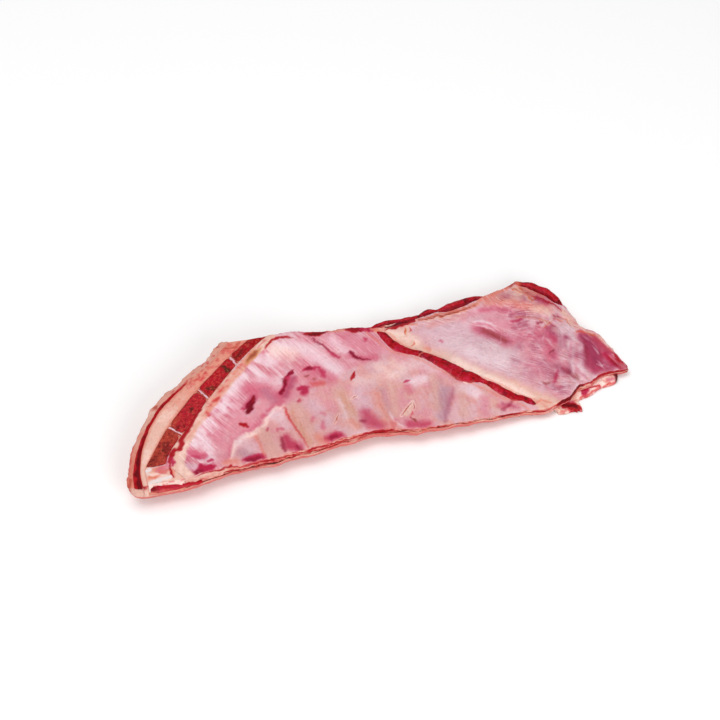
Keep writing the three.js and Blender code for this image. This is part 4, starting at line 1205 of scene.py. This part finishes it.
# Marks on the cut front: tone, strength, softness, widths, and points of (x, depth below the edge).
FRONT_MARKS = [
    ("coral", 0.5, 0.8, [1, 2, 1.4, 2, 1.6, 2, 1],
     [(-112, 5), (-90, 5.4), (-70, 5), (-50, 5.6), (-30, 5), (-8, 5.2), (16, 5)]),
    ("blood", 0.9, 0.5, [0.6, 1.5, 0.7, 1.7, 1, 1.6, 0.6],
     [(-114, 3.2), (-92, 2.9), (-72, 3.6), (-52, 3.1), (-32, 3.8), (-10, 3.2), (16, 3.6)]),
    ("coral", 0.7, 0.5, [0.7, 1.2, 0.8, 1.2], [(20, 2.6), (50, 2.3), (80, 2.7), (112, 2.4)]),
    ("pearl", 0.9, 0.5, [3, 3, 2.4, 1.4], [(-162, 1.2), (-150, 1.0), (-140, 0.8), (-128, 0.6)]),
    ("cream", 0.8, 0.8, [4, 4, 3], [(-160, 5), (-145, 5), (-128, 5)]),
    ("blood", 0.9, 0.5, [0.6, 1.4, 1.2, 0.5], [(-150, 3), (-143, 2.6), (-136, 3), (-129, 3.2)]),
    ("dried", 0.9, 0.6, [1, 2.2, 2.2, 1], [(-136, 0.6), (-131, 0.9), (-124, 0.6), (-117, 0.4)]),
    ("blood", 0.9, 0.5, [0.5, 1.2, 0.5], [(-134, 2.4), (-126, 2.2), (-119, 2)]),
    ("blood", 0.95, 0.5, [0.8, 1.6, 1, 1.4, 0.8],
     [(-131, 6.6), (-122, 6.2), (-113, 6), (-104, 6.4), (-97, 6)]),
    ("dried", 0.9, 0.5, [0.5, 1.4, 0.8, 1.6, 0.6],
     [(-112, 7.6), (-104, 7.8), (-98, 7.4), (-90, 7), (-84, 6.6)]),
    ("coral", 0.8, 0.5, [0.5, 1, 0.5], [(-106, 2.4), (-100, 2), (-94, 2.2)]),
    ("blood", 0.9, 0.6, [0.8, 2.4, 2.8, 1], [(-12, 2.6), (-6, 3), (0, 3.2), (7, 3)]),
    ("blood", 0.8, 0.5, [0.5, 1.6, 0.5], [(38, 2.6), (42, 2.8), (46, 2.6)]),
    ("blood", 0.9, 0.5, [0.6, 1.8, 0.6], [(89, 2), (97, 2), (106, 2)]),
    ("blood", 0.95, 0.5, [0.6, 1.4, 0.6], [(114, 3), (122, 3), (131, 3)]),
    ("blood", 1.0, 0.6, [2, 6, 7, 5, 2], [(135, 3), (143, 3), (153, 2.6), (161, 2.2), (167, 1.6)]),
    ("dried", 0.8, 0.6, [1, 2, 3, 1], [(138, 3), (147, 3), (156, 3), (163, 2.6)]),
    ("blood", 0.95, 0.4, [1.8, 2.4, 2.4], [(167, 2.2), (186, 2.3), (204, 2.2)]),
    ("rose", 0.6, 0.8, [2, 3, 3], [(170, 5), (186, 5), (200, 5)]),
]
# How much red meat shows in the cut sides along x, and the y up to which they count as the front.
RED_MEAT = [(-170, 0.15), (-150, 0.35), (-110, 0.45), (-92, 1), (8, 1), (22, 0.45), (110, 0.3)]
FRONT_UP_TO = [(-200, -30), (0, -35), (110, -50), (135, -50), (160, -38), (205, -30)]


def paint_side(paint, facts, w):
    """The cut sides: a pale rim over strata of fat and red meat, with a torn red fringe below."""
    x, y = facts["x"], facts["y"]
    depth = below_edge(facts)
    side = ease(0.0, 0.1, w)
    strata = rough(x / 2.6 + y / 5, depth * 1.7, 2.4, 5)
    flecks = rough(x / 3.0 + y / 2, depth * 1.5, 1.5, 9)
    red = side * np.interp(x, *zip(*RED_MEAT))
    paint.lay("salmon", side * 0.9)
    paint.lay("cream", side * ease(-0.6, 0.1, strata) * 0.9)
    paint.lay("coral", red * ease(0.0, 0.35, flecks + 0.3 * strata) * ease(0.8, 2.0, depth) * 0.8)
    paint.lay("ruby", red * ease(0.2, 0.5, flecks - 0.2 * strata) * ease(1.2, 2.2, depth))
    paint.lay("blood", red * ease(0.7, 1.0, flecks) * ease(1.6, 2.6, depth) * 0.8)
    paint.lay("coral", side * ease(5.5, 8.0, depth + 1.6 * strata) * ease(-0.3, 0.4, flecks) * 0.5)
    in_front = side * (y < np.interp(x, *zip(*FRONT_UP_TO)))
    wander_x, wander_depth = x + 0.8 * cloud(x, depth, 3, 4), depth + 0.4 * cloud(x, 2 * depth, 2, 5)
    for tone_name, strength, soft, widths, points in FRONT_MARKS:
        paint.lay(tone_name, in_front * stroke(wander_x, wander_depth, points, widths, soft) * strength)
    paint.lay("white", side * ease(1.3, 0.6, depth + 0.4 * strata) * 0.6)
    paint.grain *= 1 - side


def build_wall():
    across, along = 480, 150
    piece = shell("breast_wall_flesh", across, along)

    def low(facts):
        return on_fat(facts) - 0.9

    def shape(facts):
        x, y, w = facts["x"], facts["y"], facts["w"]
        facts["paint"], facts["fibre"] = paint_face(x, y)
        relief = facts["paint"].relief + rounded(near_edge(facts, 2.0), ROUNDING) + 0.3 * rough(x, y, 14, 2)
        return np.where(w > 0, -ROUNDING, relief)

    columns, rows = fine_steps(LAST_BONE_LINE, FLANK_COLUMN, across), fine_steps(0, 1, along)
    facts = net_piece(piece, columns, rows, low, shape=shape, bow=0.8, bow_at=(0, 1, 1.1, 1.3))
    paint_side(facts["paint"], facts, facts["w"])
    dress(piece, "flesh", "breast_wall", facts["paint"], facts["fibre"])


# ------------------------------------------------------------------ fat outside and beside the breastbone

def plain_paint(facts, ground, *coats):
    """A ground tone with coats of noise over it: tone, size, threshold, strength, layer."""
    x, y, z = facts["x"], facts["y"], facts["z"]
    paint = Paint(x, ground)
    for tone_name, size, start, strength, layer in coats:
        paint.lay(tone_name, ease(start, start + 0.5, rough(x + z, y - z, size, layer)) * strength)
    return paint


RIM_SPECKS = [
    (-120.8, 55.7), (-118.5, 53.1), (-129.8, 48.8), (-127.5, 43.3), (-125, 41.6), (-130, 42.1),
    (-134.9, 39.7), (-139.9, 40.3), (-145, 37), (-120.7, 47), (-123, 50), (-133, 45), (-137, 42),
    (-116, 57), (-150, 36), (-110, 62), (-108, 58), (-126, 46),
]
RIM_MARKS = [
    ("brick", 0.8, 1.0, [2, 4, 2], [(-168.5, 22), (-166.4, 23), (-164, 25)]),
    ("brick", 0.7, 1.0, 2.4, [(-105.8, 70), (-104.5, 71)]),
    ("coral", 0.5, 1.6, [3, 4, 3], [(-99.8, 66), (-95, 61), (-88.5, 64)]),
    ("brick", 0.6, 1.0, [1.6, 2.4, 1.6], [(-99, 67), (-92, 66), (-87, 70)]),
    ("coral", 0.6, 1.6, 4, [(-203, -36), (-199, -22), (-192, -6)]),
    ("coral", 0.45, 1.6, 3, [(-192, -6), (-180, 12)]),
    ("brick", 0.6, 1.2, 3, [(-203, -46), (-201, -40)]),
]


def paint_rim(paint, x, y):
    """Red specks and stains on the fat beside the breastbone."""
    paint.marks(x, y, RIM_MARKS)
    for spot, (sx, sy) in enumerate(RIM_SPECKS):
        size = 1.2 + 0.8 * math.sin(5.0 * spot)
        paint.marks(x, y, [("coral", 0.8, 0.7, size, [(sx - 0.6, sy - 0.8), (sx + 0.6, sy + 0.6)])])


def build_fat_cover():
    rim = [0, 0.06, 0.14, 0.25, 0.4, 0.55, 0.7, 0.82, 0.9, 0.95, 0.965, 0.98]
    under_muscle = [1.02, 1.1, 1.3, 1.5, 1.7, 1.88, 1.99, 1.998]
    under_wall = fine_steps(2.01, FLANK_COLUMN, 240)
    columns = np.concatenate([rim, under_muscle, under_wall])
    rows = fine_steps(0, 1, 110)
    piece = slab("fat_cover", len(columns) - 1, len(rows) - 1)

    def high(facts, top):
        return np.where(facts["column"] < 0.972, top, fat_top(facts))

    facts = net_piece(piece, columns, rows, underside, high=high, bow=0.8, bow_at=(1, 1, 0.8, 0.4, 0))
    x, y, z, w, column = (facts[k] for k in ("x", "y", "z", "w", "column"))
    paint = plain_paint(
        facts, "fat", ("cream", 14, -0.1, 0.8, 3), ("salmon", 6, 0.3, 0.5, 6), ("coral", 3.0, 0.75, 0.5, 9),
        ("rose", 22, 0.5, 0.5, 2),
    )
    rim_top = ease(0.05, 0.0, w) * ease(1.0, 0.9, column)
    paint.lay("cream", rim_top * ease(-40, 30, y) * 0.5)
    paint.lay("salmon", rim_top * ease(20, -40, y) * 0.8)
    above_outside = z - underside(facts)
    front = ease(-36, -46, y) * ease(-0.02, 0.1, w)
    front_end = front * ease(-150, -172, x)
    paint.lay("cream", front * (0.8 - 0.3 * rough(x / 2, 3 * z, 5, 3)))
    paint.lay("cream", front_end * (0.9 - 0.2 * rough(x, 3 * z, 5, 3)))
    paint.lay("coral", front * ease(1.0, 0.3, above_outside + 0.5 * rough(x, y, 4, 8)) * 0.6)
    paint_rim(paint, x, y)
    upper_side = ease(0.9, 0.5, w) * ease(0.0, 0.05, w) * ease(2.4, 4.0, column)
    paint_side(paint, facts, upper_side * 0.15)
    dress(piece, "fat", "outer_fat", paint)


BRISKET_ROWS = fine_steps(0, 1, 260)


def build_brisket_muscle():
    piece = slab("brisket_muscle_sheet", 16, len(BRISKET_ROWS) - 1)
    columns = fine_steps(0.99, 2.01, 16)
    facts = net_piece(piece, columns, BRISKET_ROWS, on_fat, bow=0.8, bow_at=(0, 0.4, 1, 1.3))
    x, y, row, across = facts["x"], facts["y"], facts["row"], facts["column"] - 1
    paint = plain_paint(facts, "blood", ("dried", 6, 0.2, 0.6, 3), ("ruby", 3, 0.3, 0.6, 6))
    in_middle = ease(0.15, 0.45, across + 0.3 * rough(x, y, 5, 4)) * ease(1.0, 0.7, across)
    paint.lay("dried", in_middle * ease(10, -25, y) * 0.8)
    paint.lay("coral", ease(0.3, 0.0, across + 0.2 * rough(x, y, 4, 5)) * 0.5)
    under_fat = row + 0.03 * rough(x, y, 4, 6)
    paint.lay("fat", ease(0.6, 0.66, under_fat))
    paint.lay("cream", ease(0.64, 0.7, under_fat) * 0.5)
    paint_rim(paint, x, y)
    in_front = ease(0.0, 0.1, facts["w"]) * ease(0.01, 0.0, row)
    corner = below_edge(facts) - 2.9 + 1.6 * np.abs(across - 0.45) ** 1.5 + 0.3 * rough(x, facts["z"], 2, 4)
    paint.lay("cream", in_front * ease(-0.3, 0.2, corner))
    dress(piece, "muscle", "brisket_muscle", paint)


def build_brisket_fat():
    on_face, under_bone = fine_steps(2, 2.995, 27), fine_steps(2.998, 4, 7)
    columns = np.concatenate([on_face, under_bone])
    piece = slab("brisket_fat_strip", 34, len(BRISKET_ROWS) - 1)

    def high(facts, top):
        return np.where(facts["column"] < 2.9965, top, top - BONE_DEPTH)

    def bulge(facts):
        return 0.5 * np.sin(np.pi * np.clip(facts["column"] - 2, 0, 1))

    facts = net_piece(piece, columns, BRISKET_ROWS, on_fat, high, bulge, bow=0.8, bow_at=(0, 0.2, 0.8, 1.3))
    x, y, row, across = facts["x"], facts["y"], facts["row"], facts["column"] - 2
    paint = plain_paint(facts, "cream", ("white", 16, 0.1, 0.4, 3), ("salmon", 9, 0.3, 0.35, 6))
    paint.lay("fat", np.maximum(ease(0.25, 0.0, across), ease(0.75, 1.0, across)) * 0.8)
    paint.lay("fat", ease(0.42, 0.7, row + 0.05 * rough(x, y, 9, 2)) * 0.8)
    paint.lay("coral", ease(0.3, 0.8, row) * ease(0.1, 0.7, rough(x, y, 3, 5)) * 0.45)
    paint_rim(paint, x, y)
    lobe = stroke(x, below_edge(facts), [(-194, 2.6), (-188.6, 2.8)], [3.4, 1.6], 0.5)
    paint.lay("blood", ease(0.0, 0.1, facts["w"]) * lobe)
    dress(piece, "fat", "brisket_fat", paint)


# ------------------------------------------------------------------ sawn breastbone

BONE_ROW = [  # name, row at which it ends, how proud its face stands
    ("first_cartilage", 0.2, -0.4), ("breastbone_1", 0.393, 0.4), ("growth_plate_1", 0.407, -0.5),
    ("breastbone_2", 0.593, 0.4), ("growth_plate_2", 0.607, -0.5), ("breastbone_3", 0.793, 0.4),
    ("growth_plate_3", 0.812, -0.5), ("breastbone_4", 1, 0.2),
]
BONE_TONES = {
    "breastbone_1": "brick", "breastbone_2": "ruby", "breastbone_3": "cherry", "breastbone_4": "blood",
}
BONE_LENGTH = 185
BONE_WIDTH = 19
BONE_STEPS = {"across": 60, "along": 420}
BONE_MARKS = [
    ("brown", 0.5, 1.6, 4, [(-184, -30), (-178, -26)]),
    ("black", 0.7, 0.6, 1.0, [(-171.5, -19), (-170, -18)]),
    ("brick", 0.8, 3.0, 7, [(-161, 0), (-154, 8)]),
    ("olive", 0.7, 1.2, 2, [(-141, 12), (-139, 15)]),
    ("olive", 0.8, 1.6, [2, 4, 2], [(-124, 31), (-119, 30.5), (-115, 28)]),
    ("orange", 0.6, 0.8, 1.0, [(-120, 31), (-117.5, 30)]),
    ("olive", 0.85, 1.6, [2, 5, 2], [(-106, 50), (-103.4, 45), (-101, 41)]),
    ("ochre", 0.5, 0.7, 0.9, [(-104, 46), (-102.5, 43)]),
    ("olive", 0.5, 1.6, [2, 3, 2], [(-94, 56), (-90, 58), (-86, 62)]),
]
CARTILAGE_MARKS = [
    ("fat", 0.8, 2.0, 5, [(-183, -35.5), (-176, -36)]),
    ("rose", 0.6, 2.0, [3, 6, 5], [(-179, -37), (-174, -36), (-171, -33)]),
    ("coral", 0.5, 1.2, [2, 3, 1], [(-178, -39), (-174, -40), (-171, -38)]),
    ("lilac", 0.7, 1.0, 1.4, [(-183, -33.5), (-171, -32)]),
    ("ice", 0.95, 1.0, 3.4, [(-187.5, -35), (-185, -35)]),
    ("salmon", 0.8, 1.6, [3, 4, 2], [(-186.5, -43), (-183, -43.5), (-179, -42)]),
    ("orange", 0.4, 1.0, 1.6, [(-186, -41.5), (-182, -43)]),
    ("ice", 0.95, 1.2, [3, 3.4, 3], [(-188, -47), (-180, -47), (-172, -45.5)]),
    ("salmon", 0.7, 0.6, 1.0, [(-180, -49.5), (-173, -49.5)]),
    ("ice", 0.95, 1.0, [3, 4, 2], [(-171, -45.5), (-164, -46.5), (-157, -48.5)]),
    ("coral", 0.9, 0.7, [1.6, 2.4, 0.8], [(-170, -38), (-169, -42), (-169, -46)]),
]


def corner_inset(facts, wide, long, radius):
    """How far inside the rounded, slightly uneven outline of its cut face a point lies."""
    u, v, x, y = (facts[k] for k in "uvxy")
    uneven = 0.7 * rough(x, y, 6, 5)
    from_side = np.minimum(u, 1 - u) * wide + uneven
    from_end = np.minimum(v, 1 - v) * long + uneven
    in_corner = (from_side < radius) & (from_end < radius)
    corner = radius - np.hypot(radius - from_side, radius - from_end)
    return np.where(in_corner, corner, np.minimum(from_side, from_end))


def paint_bone(facts, name):
    u, x, y, inset = (facts[k] for k in ("u", "x", "y", "inset"))
    coats = [("dried", 6, 0.4, 0.5, 6), ("ruby", 5, 0.3, 0.5, 9), ("brown", 3, 0.4, 0.5, 2)]
    paint = plain_paint(facts, BONE_TONES[name], *coats)
    paint.marks(x, y, BONE_MARKS)
    paint.lay("cherry", ease(2.2, 0.8, inset) * ease(0.6, 0.9, u) * 0.8)
    paint.lay("dried", ease(0.9, 0.2, inset) * 0.5)
    paint.lay("fat", ease(0.3, -0.2, inset))
    return paint


def paint_plate(facts):
    u, v, x, y = (facts[k] for k in "uvxy")
    paint = plain_paint(facts, "lilac", ("pearl", 3, 0.0, 0.6, 3))
    uneven = 0.25 * rough(x, y, 3, 4)
    paint.lay("brick", ease(0.2, 0.3, np.abs(v - 0.5 + uneven)))
    paint.lay("fat", np.maximum(ease(0.1, 0.02, u), ease(0.93, 1.0, u)))
    return paint


def paint_cartilage(facts):
    w, x, y, z = (facts[k] for k in "wxyz")
    paint = plain_paint(facts, "cream", ("white", 6, 0.1, 0.6, 3), ("ice", 5, 0.4, 0.5, 8))
    paint.marks(x, y, CARTILAGE_MARKS)
    paint.marks(x, y, BESIDE_BONE)
    in_front = ease(0.02, 0.1, w)
    paint.lay("white", in_front * 0.8)
    paint.lay("coral", in_front * ease(0.3, 0.6, rough(x / 2, z, 2, 3)) * 0.6)
    return paint


def build_bone(name, start, end, proud):
    """One piece of the sawn row: a bone, a growth plate, or the cartilage before them."""
    is_bone = name.startswith("breastbone")
    along = max(10, round((end - start) * BONE_STEPS["along"]))
    piece = slab(name + "_cut", BONE_STEPS["across"], along)

    def shape(facts):
        radius = 4.0 if is_bone else 0.5
        inset = corner_inset(facts, BONE_WIDTH, (end - start) * BONE_LENGTH, radius)
        facts["inset"] = inset
        x, y = facts["x"], facts["y"]
        grit = 0.16 * rough(x, y, 2.2, 7) if is_bone else 0.2 * rough(x, y, 7, 7)
        return np.where(inset > 0, proud, 0.1) * ease(-0.4, 0.6, inset) + grit * ease(0, 1, inset)

    def low(facts):
        return top_at(facts["column"], facts["row"]) - BONE_DEPTH

    columns, rows = fine_steps(3, 4, BONE_STEPS["across"]), fine_steps(start, end, along)
    facts = net_piece(piece, columns, rows, low, shape=shape)
    if is_bone:
        dress(piece, "bone", name, paint_bone(facts, name))
    elif name.startswith("growth"):
        dress(piece, "cartilage", name, paint_plate(facts))
    else:
        dress(piece, "cartilage", name, paint_cartilage(facts))


def build_breastbone():
    start = 0.0
    for name, end, proud in BONE_ROW:
        build_bone(name, start, end, proud)
        start = end


# ------------------------------------------------------------------ skirt and rolls of muscle

SKIRT_WIDTHS = [
    (0, 5), (0.06, 8), (0.15, 9), (0.24, 6), (0.34, 7), (0.42, 9), (0.55, 12), (0.62, 10.5), (0.67, 6),
    (0.76, 7.5), (0.84, 7), (0.88, 8), (0.91, 5), (0.95, 7.5), (1, 5),
]
SKIRT_RAISE = -0.85  # the middle lies lower than in the solid, which has to stand clear of the face
NICK_AT = 44.5  # how far along the skirt a pale nick crosses it
ROLLS = {  # line over the face, width, height, how far the middle lies above the face
    "edge_muscle_1": ([(21, 53.5), (32, 55.5), (42, 54.5), (52, 53.5), (60.8, 54.2)], 6.5, 7, -1.5),
    "edge_muscle_2": ([(62.4, 55), (70, 57), (80, 55.5), (95, 57.5), (113, 59.5)], 7, 7, -1.5),
    "edge_muscle_3": ([(151, 65), (158, 59.5), (165, 52.5), (171, 44.5), (174.5, 36)], 8, 7, -1),
}
ROLL_SHAPES = {  # how thick each roll is along its way, against the solid's
    "edge_muscle_1": (0.35, 0.65, 0.7, 0.65, 0.75, 0.7, 0.5),
    "edge_muscle_2": (0.4, 0.7, 0.75, 0.4, 0.8, 1.1, 1.2, 1.15, 1.0, 0.75, 0.3),
    "edge_muscle_3": (0.5, 0.7, 1.0, 1.05, 1.1, 1.0, 0.8, 0.4),
}
ROLL_ENDS = {  # where each roll's torn ends reach to, past the solid's
    "edge_muscle_1": [(17, 53), (64, 55)],
    "edge_muscle_2": [(58, 54), (118, 60.5)],
    "edge_muscle_3": [(147, 68), (176.5, 32)],
}
FRONT_WEDGE = [(-189, -52.2, 17.6), (-177, -53.0, 17.2), (-164, -54.0, 16.6), (-148, -55.4, 16.0)]
WEDGE_WIDTHS = [4.5, 5.6, 5.4, 5, 4.6, 4.2, 3.4]
WEDGE_HEIGHTS = [7.5, 10.2, 8.8, 6.8, 4.8, 3.4, 2.2]


def over_face(points, raise_by):
    plan = np.array(points, float)
    return stand(plan, inner_height(plan[:, 0], plan[:, 1]) + raise_by)


def strand_paint(facts):
    far, angle = facts["far"], facts["angle"]
    paint = Paint(far, "blood")
    around = 3 * np.cos(angle)
    paint.lay("ruby", ease(0.1, 0.7, rough(far, around + 60, 5, 8)) * 0.6)
    paint.lay("dried", ease(0.1, 0.7, rough(far, around + 30, 4, 3)) * 0.7)
    paint.lay("magenta", ease(0.3, 0.9, rough(far, around + 90, 4, 10)) * 0.6)
    paint.lay("rose", ease(0.55, 0.85, cloud(far, around + 20, 1.1, 7)) * 0.55)
    # painted light: the strand's lower part, down by the face, is paler to lift the shade it lies in
    paint.lay("salmon", ease(0.35, -0.05, facts["up"]) * 0.75)
    paint.grain += 0.6
    return paint


def dress_strand(facts, node, paint):
    fibre = np.stack([facts["far"] / 7, facts["angle"] * 2, 0 * facts["t"]], -1)
    dress(facts["piece"], "muscle", node, paint, fibre=fibre)


def build_skirt():
    widths = np.interp(np.linspace(0, 1, 40), *zip(*SKIRT_WIDTHS))
    heights = 0.4 * widths + 3.2
    path = over_face(SKIRT_LINE, SKIRT_RAISE)
    facts = strand("skirt_muscle", path, widths, heights, 560, 48, lumps=0.14, seed=3)
    far, angle, across = facts["far"], facts["angle"], facts["across"]
    paint = strand_paint(facts)
    from_nick = np.abs(far - NICK_AT + 1.6 * across + 0.8 * cloud(far, angle, 1, 3))
    paint.lay("salmon", ease(1.6, 0.4, from_nick) * 0.7)
    paint.lay("cream", ease(0.75, 0.95, np.abs(across) + 0.1 * rough(far, angle, 3, 5)) * 0.35)
    dress_strand(facts, "skirt", paint)


def build_roll(name, seed):
    inner, width, height, raise_by = ROLLS[name]
    first, last = ROLL_ENDS[name]
    thick = spread(np.linspace(0, 1, 25), ROLL_SHAPES[name])
    path = over_face([first, *inner, last], raise_by)
    facts = strand(name + "_roll", path, width * thick, height * thick, 260, 36, lumps=0.16, seed=seed)
    far, angle, t = facts["far"], facts["angle"], facts["t"]
    paint = strand_paint(facts)
    paint.lay("dried", ease(0.2, 0.7, facts["across"]) * 0.5)
    if name == "edge_muscle_3":
        paint.lay("brick", ease(0.2, 0.1, t))
        paint.lay("fat", ease(0.16, 0.06, t) * 0.6)
    paint.lay("coral", ease(0.75, 1.0, facts["up"]) * ease(0, 0.5, rough(far, angle, 3, 2)) * 0.4)
    dress_strand(facts, name, paint)


def build_front_muscle():
    path, uneven = np.array(FRONT_WEDGE), {"lumps": 0.14, "seed": 8, "square": 2.8}
    facts = strand("front_muscle_cut", path, WEDGE_WIDTHS, WEDGE_HEIGHTS, 160, 36, **uneven)
    far, angle, t = facts["far"], facts["angle"], facts["t"]
    paint = strand_paint(facts)
    paint.lay("ruby", ease(0.1, 0.5, t) * 0.7)
    paint.lay("magenta", ease(0.0, 0.6, rough(far, angle, 5, 9)) * ease(0.7, 0.4, t) * 0.8)
    paint.lay("dried", ease(0.25, 0.0, t) * ease(-0.2, 0.4, rough(far, angle, 3, 5)) * 0.7)
    dress_strand(facts, "front_muscle", paint)


# ------------------------------------------------------------------ layer below the flank

UNDER_EDGE = Line([
    (134, -67), (138, -71.5), (147, -72), (154, -73.5), (151, -66), (157, -62), (165, -60.5), (176, -56),
    (190, -54), (194, -48),
])
UNDER_ROOT = Line([(137, -52), (150, -46), (162, -39), (176, -34), (190, -36)])
UNDER_LEVEL = 4.2  # the height at which its outline lies as the photograph shows it
UNDER_TOP = 5.0
UNDER_BOTTOM = 0.4
UNDER_MARKS = [
    # the flap's pale cream, with a painted highlight on it
    ("white", 0.8, 1.6, 4, [(170, -52), (179, -49), (185, -49)]),
    ("cream", 0.9, 1.6, 5, [(160, -48), (170, -50)]),
    ("white", 0.7, 1.6, 4, [(150, -58), (158, -57)]),
    ("magenta", 0.95, 1.4, [4, 7, 4], [(166, -53), (163, -56), (161, -60)]),
    ("ruby", 0.9, 0.8, 1.6, [(168, -55.5), (176, -55)]),
    ("rose", 0.6, 1.2, 3, [(184, -52), (188, -51)]),
    ("dried", 0.95, 1.2, [3, 4.5, 3], [(191, -47), (192, -50.5), (190.5, -54)]),
    ("blood", 0.9, 1.2, [2, 3], [(190, -47), (186, -46)]),
    ("coral", 0.8, 0.7, 1.2, [(157, -62), (165, -60.5), (176, -56.4), (190, -54)]),
    ("blood", 1.0, 1.2, [4, 6, 7, 4, 2], [(137, -62), (142, -66), (148, -69), (152, -71.5), (155, -73.5)]),
    ("dried", 0.8, 1.0, [2, 3, 2], [(138, -64), (145, -67), (151, -70)]),
    ("coral", 0.6, 0.7, 1.4, [(138, -70.5), (147, -71.5)]),
    ("magenta", 0.6, 1.0, 2, [(143, -63), (150, -65)]),
]


def build_under_layer():
    piece = slab("flank_under_flap", 260, 60)
    u, v, w = (read_layer(piece, k) for k in "uvw")
    plan = mix(UNDER_ROOT.along(u), UNDER_EDGE.along(u), (1 - v)[:, None])
    ragged = ease(0.5, 0.0, v) * ease(160, 150, plan[:, 0])
    plan = plan + edge_wander(*plan.T) * 0.6
    shreds = np.stack([cloud(*plan.T, 2.2, 4), cloud(*plan.T, 2.2, 5)], -1)
    plan = plan + ragged[:, None] * shreds * 0.9
    x, y = plan.T
    folds = 0.6 * rough(x, y, 7, 6) + 0.25 * cloud(x, y, 1.8, 2)
    high = UNDER_TOP - 1.2 * (1 - v) ** 2 + folds - 1.2 * ease(0.12, 0.0, v) ** 2
    ground = stand(plan, np.full(len(plan), UNDER_LEVEL))
    ground[:, 2] = mix(high, UNDER_BOTTOM, w)
    place(piece, ground + CENTRE)
    facts = {"x": x, "y": y, "z": ground[:, 2]}
    coats = [("cream", 8, -0.1, 0.7, 3), ("salmon", 6, 0.4, 0.5, 5), ("coral", 3, 0.8, 0.6, 9)]
    paint = plain_paint(facts, "white", *coats)
    paint.marks(x, y, UNDER_MARKS)
    dress(piece, "fat", "flank_under_layer", paint)


# ------------------------------------------------------------------ floor, light and camera

FLOOR_SIZE = 6.0
ROOM_GLOW = 0.56
SOFTBOXES = [  # name, place, size across, power in watts
    ("softbox_over", (-0.45, 0.13, 2.0), 1.4, 16.5),
    ("softbox_front", (0.35, -1.6, 0.9), 1.2, 14.5),
]
LENS = 100
SENSOR = 36
AIM = (-0.536, 18.615, 20)  # the point at the middle of the picture


def build_floor():
    bm = bmesh.new()
    bmesh.ops.create_grid(bm, x_segments=2, y_segments=2, size=FLOOR_SIZE / 2)
    floor = finish_mesh(bm, "floor")
    f = Finish("pale_floor")
    grain = f.noise(f.place(), 0.4, 2.0)
    colour = f.blend(grain, tone("fdfdfd"), tone("ffffff"))
    matte = f.done(colour, 0.7, f.bump(grain, 0.0001, 0.1), shine=0.1, film=0.0, flesh=0.0)
    floor.data.materials.append(matte)


def build_light():
    world = bpy.data.worlds.new("soft_room")
    world.use_nodes = True
    back = world.node_tree.nodes["Background"]
    back.inputs["Color"].default_value = (1, 1, 1, 1)
    back.inputs["Strength"].default_value = ROOM_GLOW
    bpy.context.scene.world = world
    for name, spot, size, power in SOFTBOXES:
        lamp = bpy.data.lights.new(name, "AREA")
        lamp.shape = "DISK"
        lamp.size = size
        lamp.energy = power
        holder = bpy.data.objects.new(name, lamp)
        holder.location = spot
        holder.rotation_euler = Vector(spot).to_track_quat("Z", "Y").to_euler()
        bpy.context.scene.collection.objects.link(holder)


def build_camera():
    camera = bpy.data.cameras.new("photo_angle")
    camera.sensor_width = SENSOR
    camera.lens = LENS
    camera.clip_start = 0.05
    camera.clip_end = 20
    holder = bpy.data.objects.new("photo_angle", camera)
    eye = Vector((EYE + CENTRE) * MM)
    holder.location = eye
    holder.rotation_euler = (eye - Vector(AIM) * MM).to_track_quat("Z", "Y").to_euler()
    bpy.context.scene.collection.objects.link(holder)
    bpy.context.scene.camera = holder


build_wall()
build_fat_cover()
build_brisket_muscle()
build_brisket_fat()
build_breastbone()
build_skirt()
for number, name in enumerate(ROLLS):
    build_roll(name, 4 + number)
build_front_muscle()
build_under_layer()
build_floor()
build_light()
build_camera()
bpy.context.scene.view_settings.view_transform = "Standard"
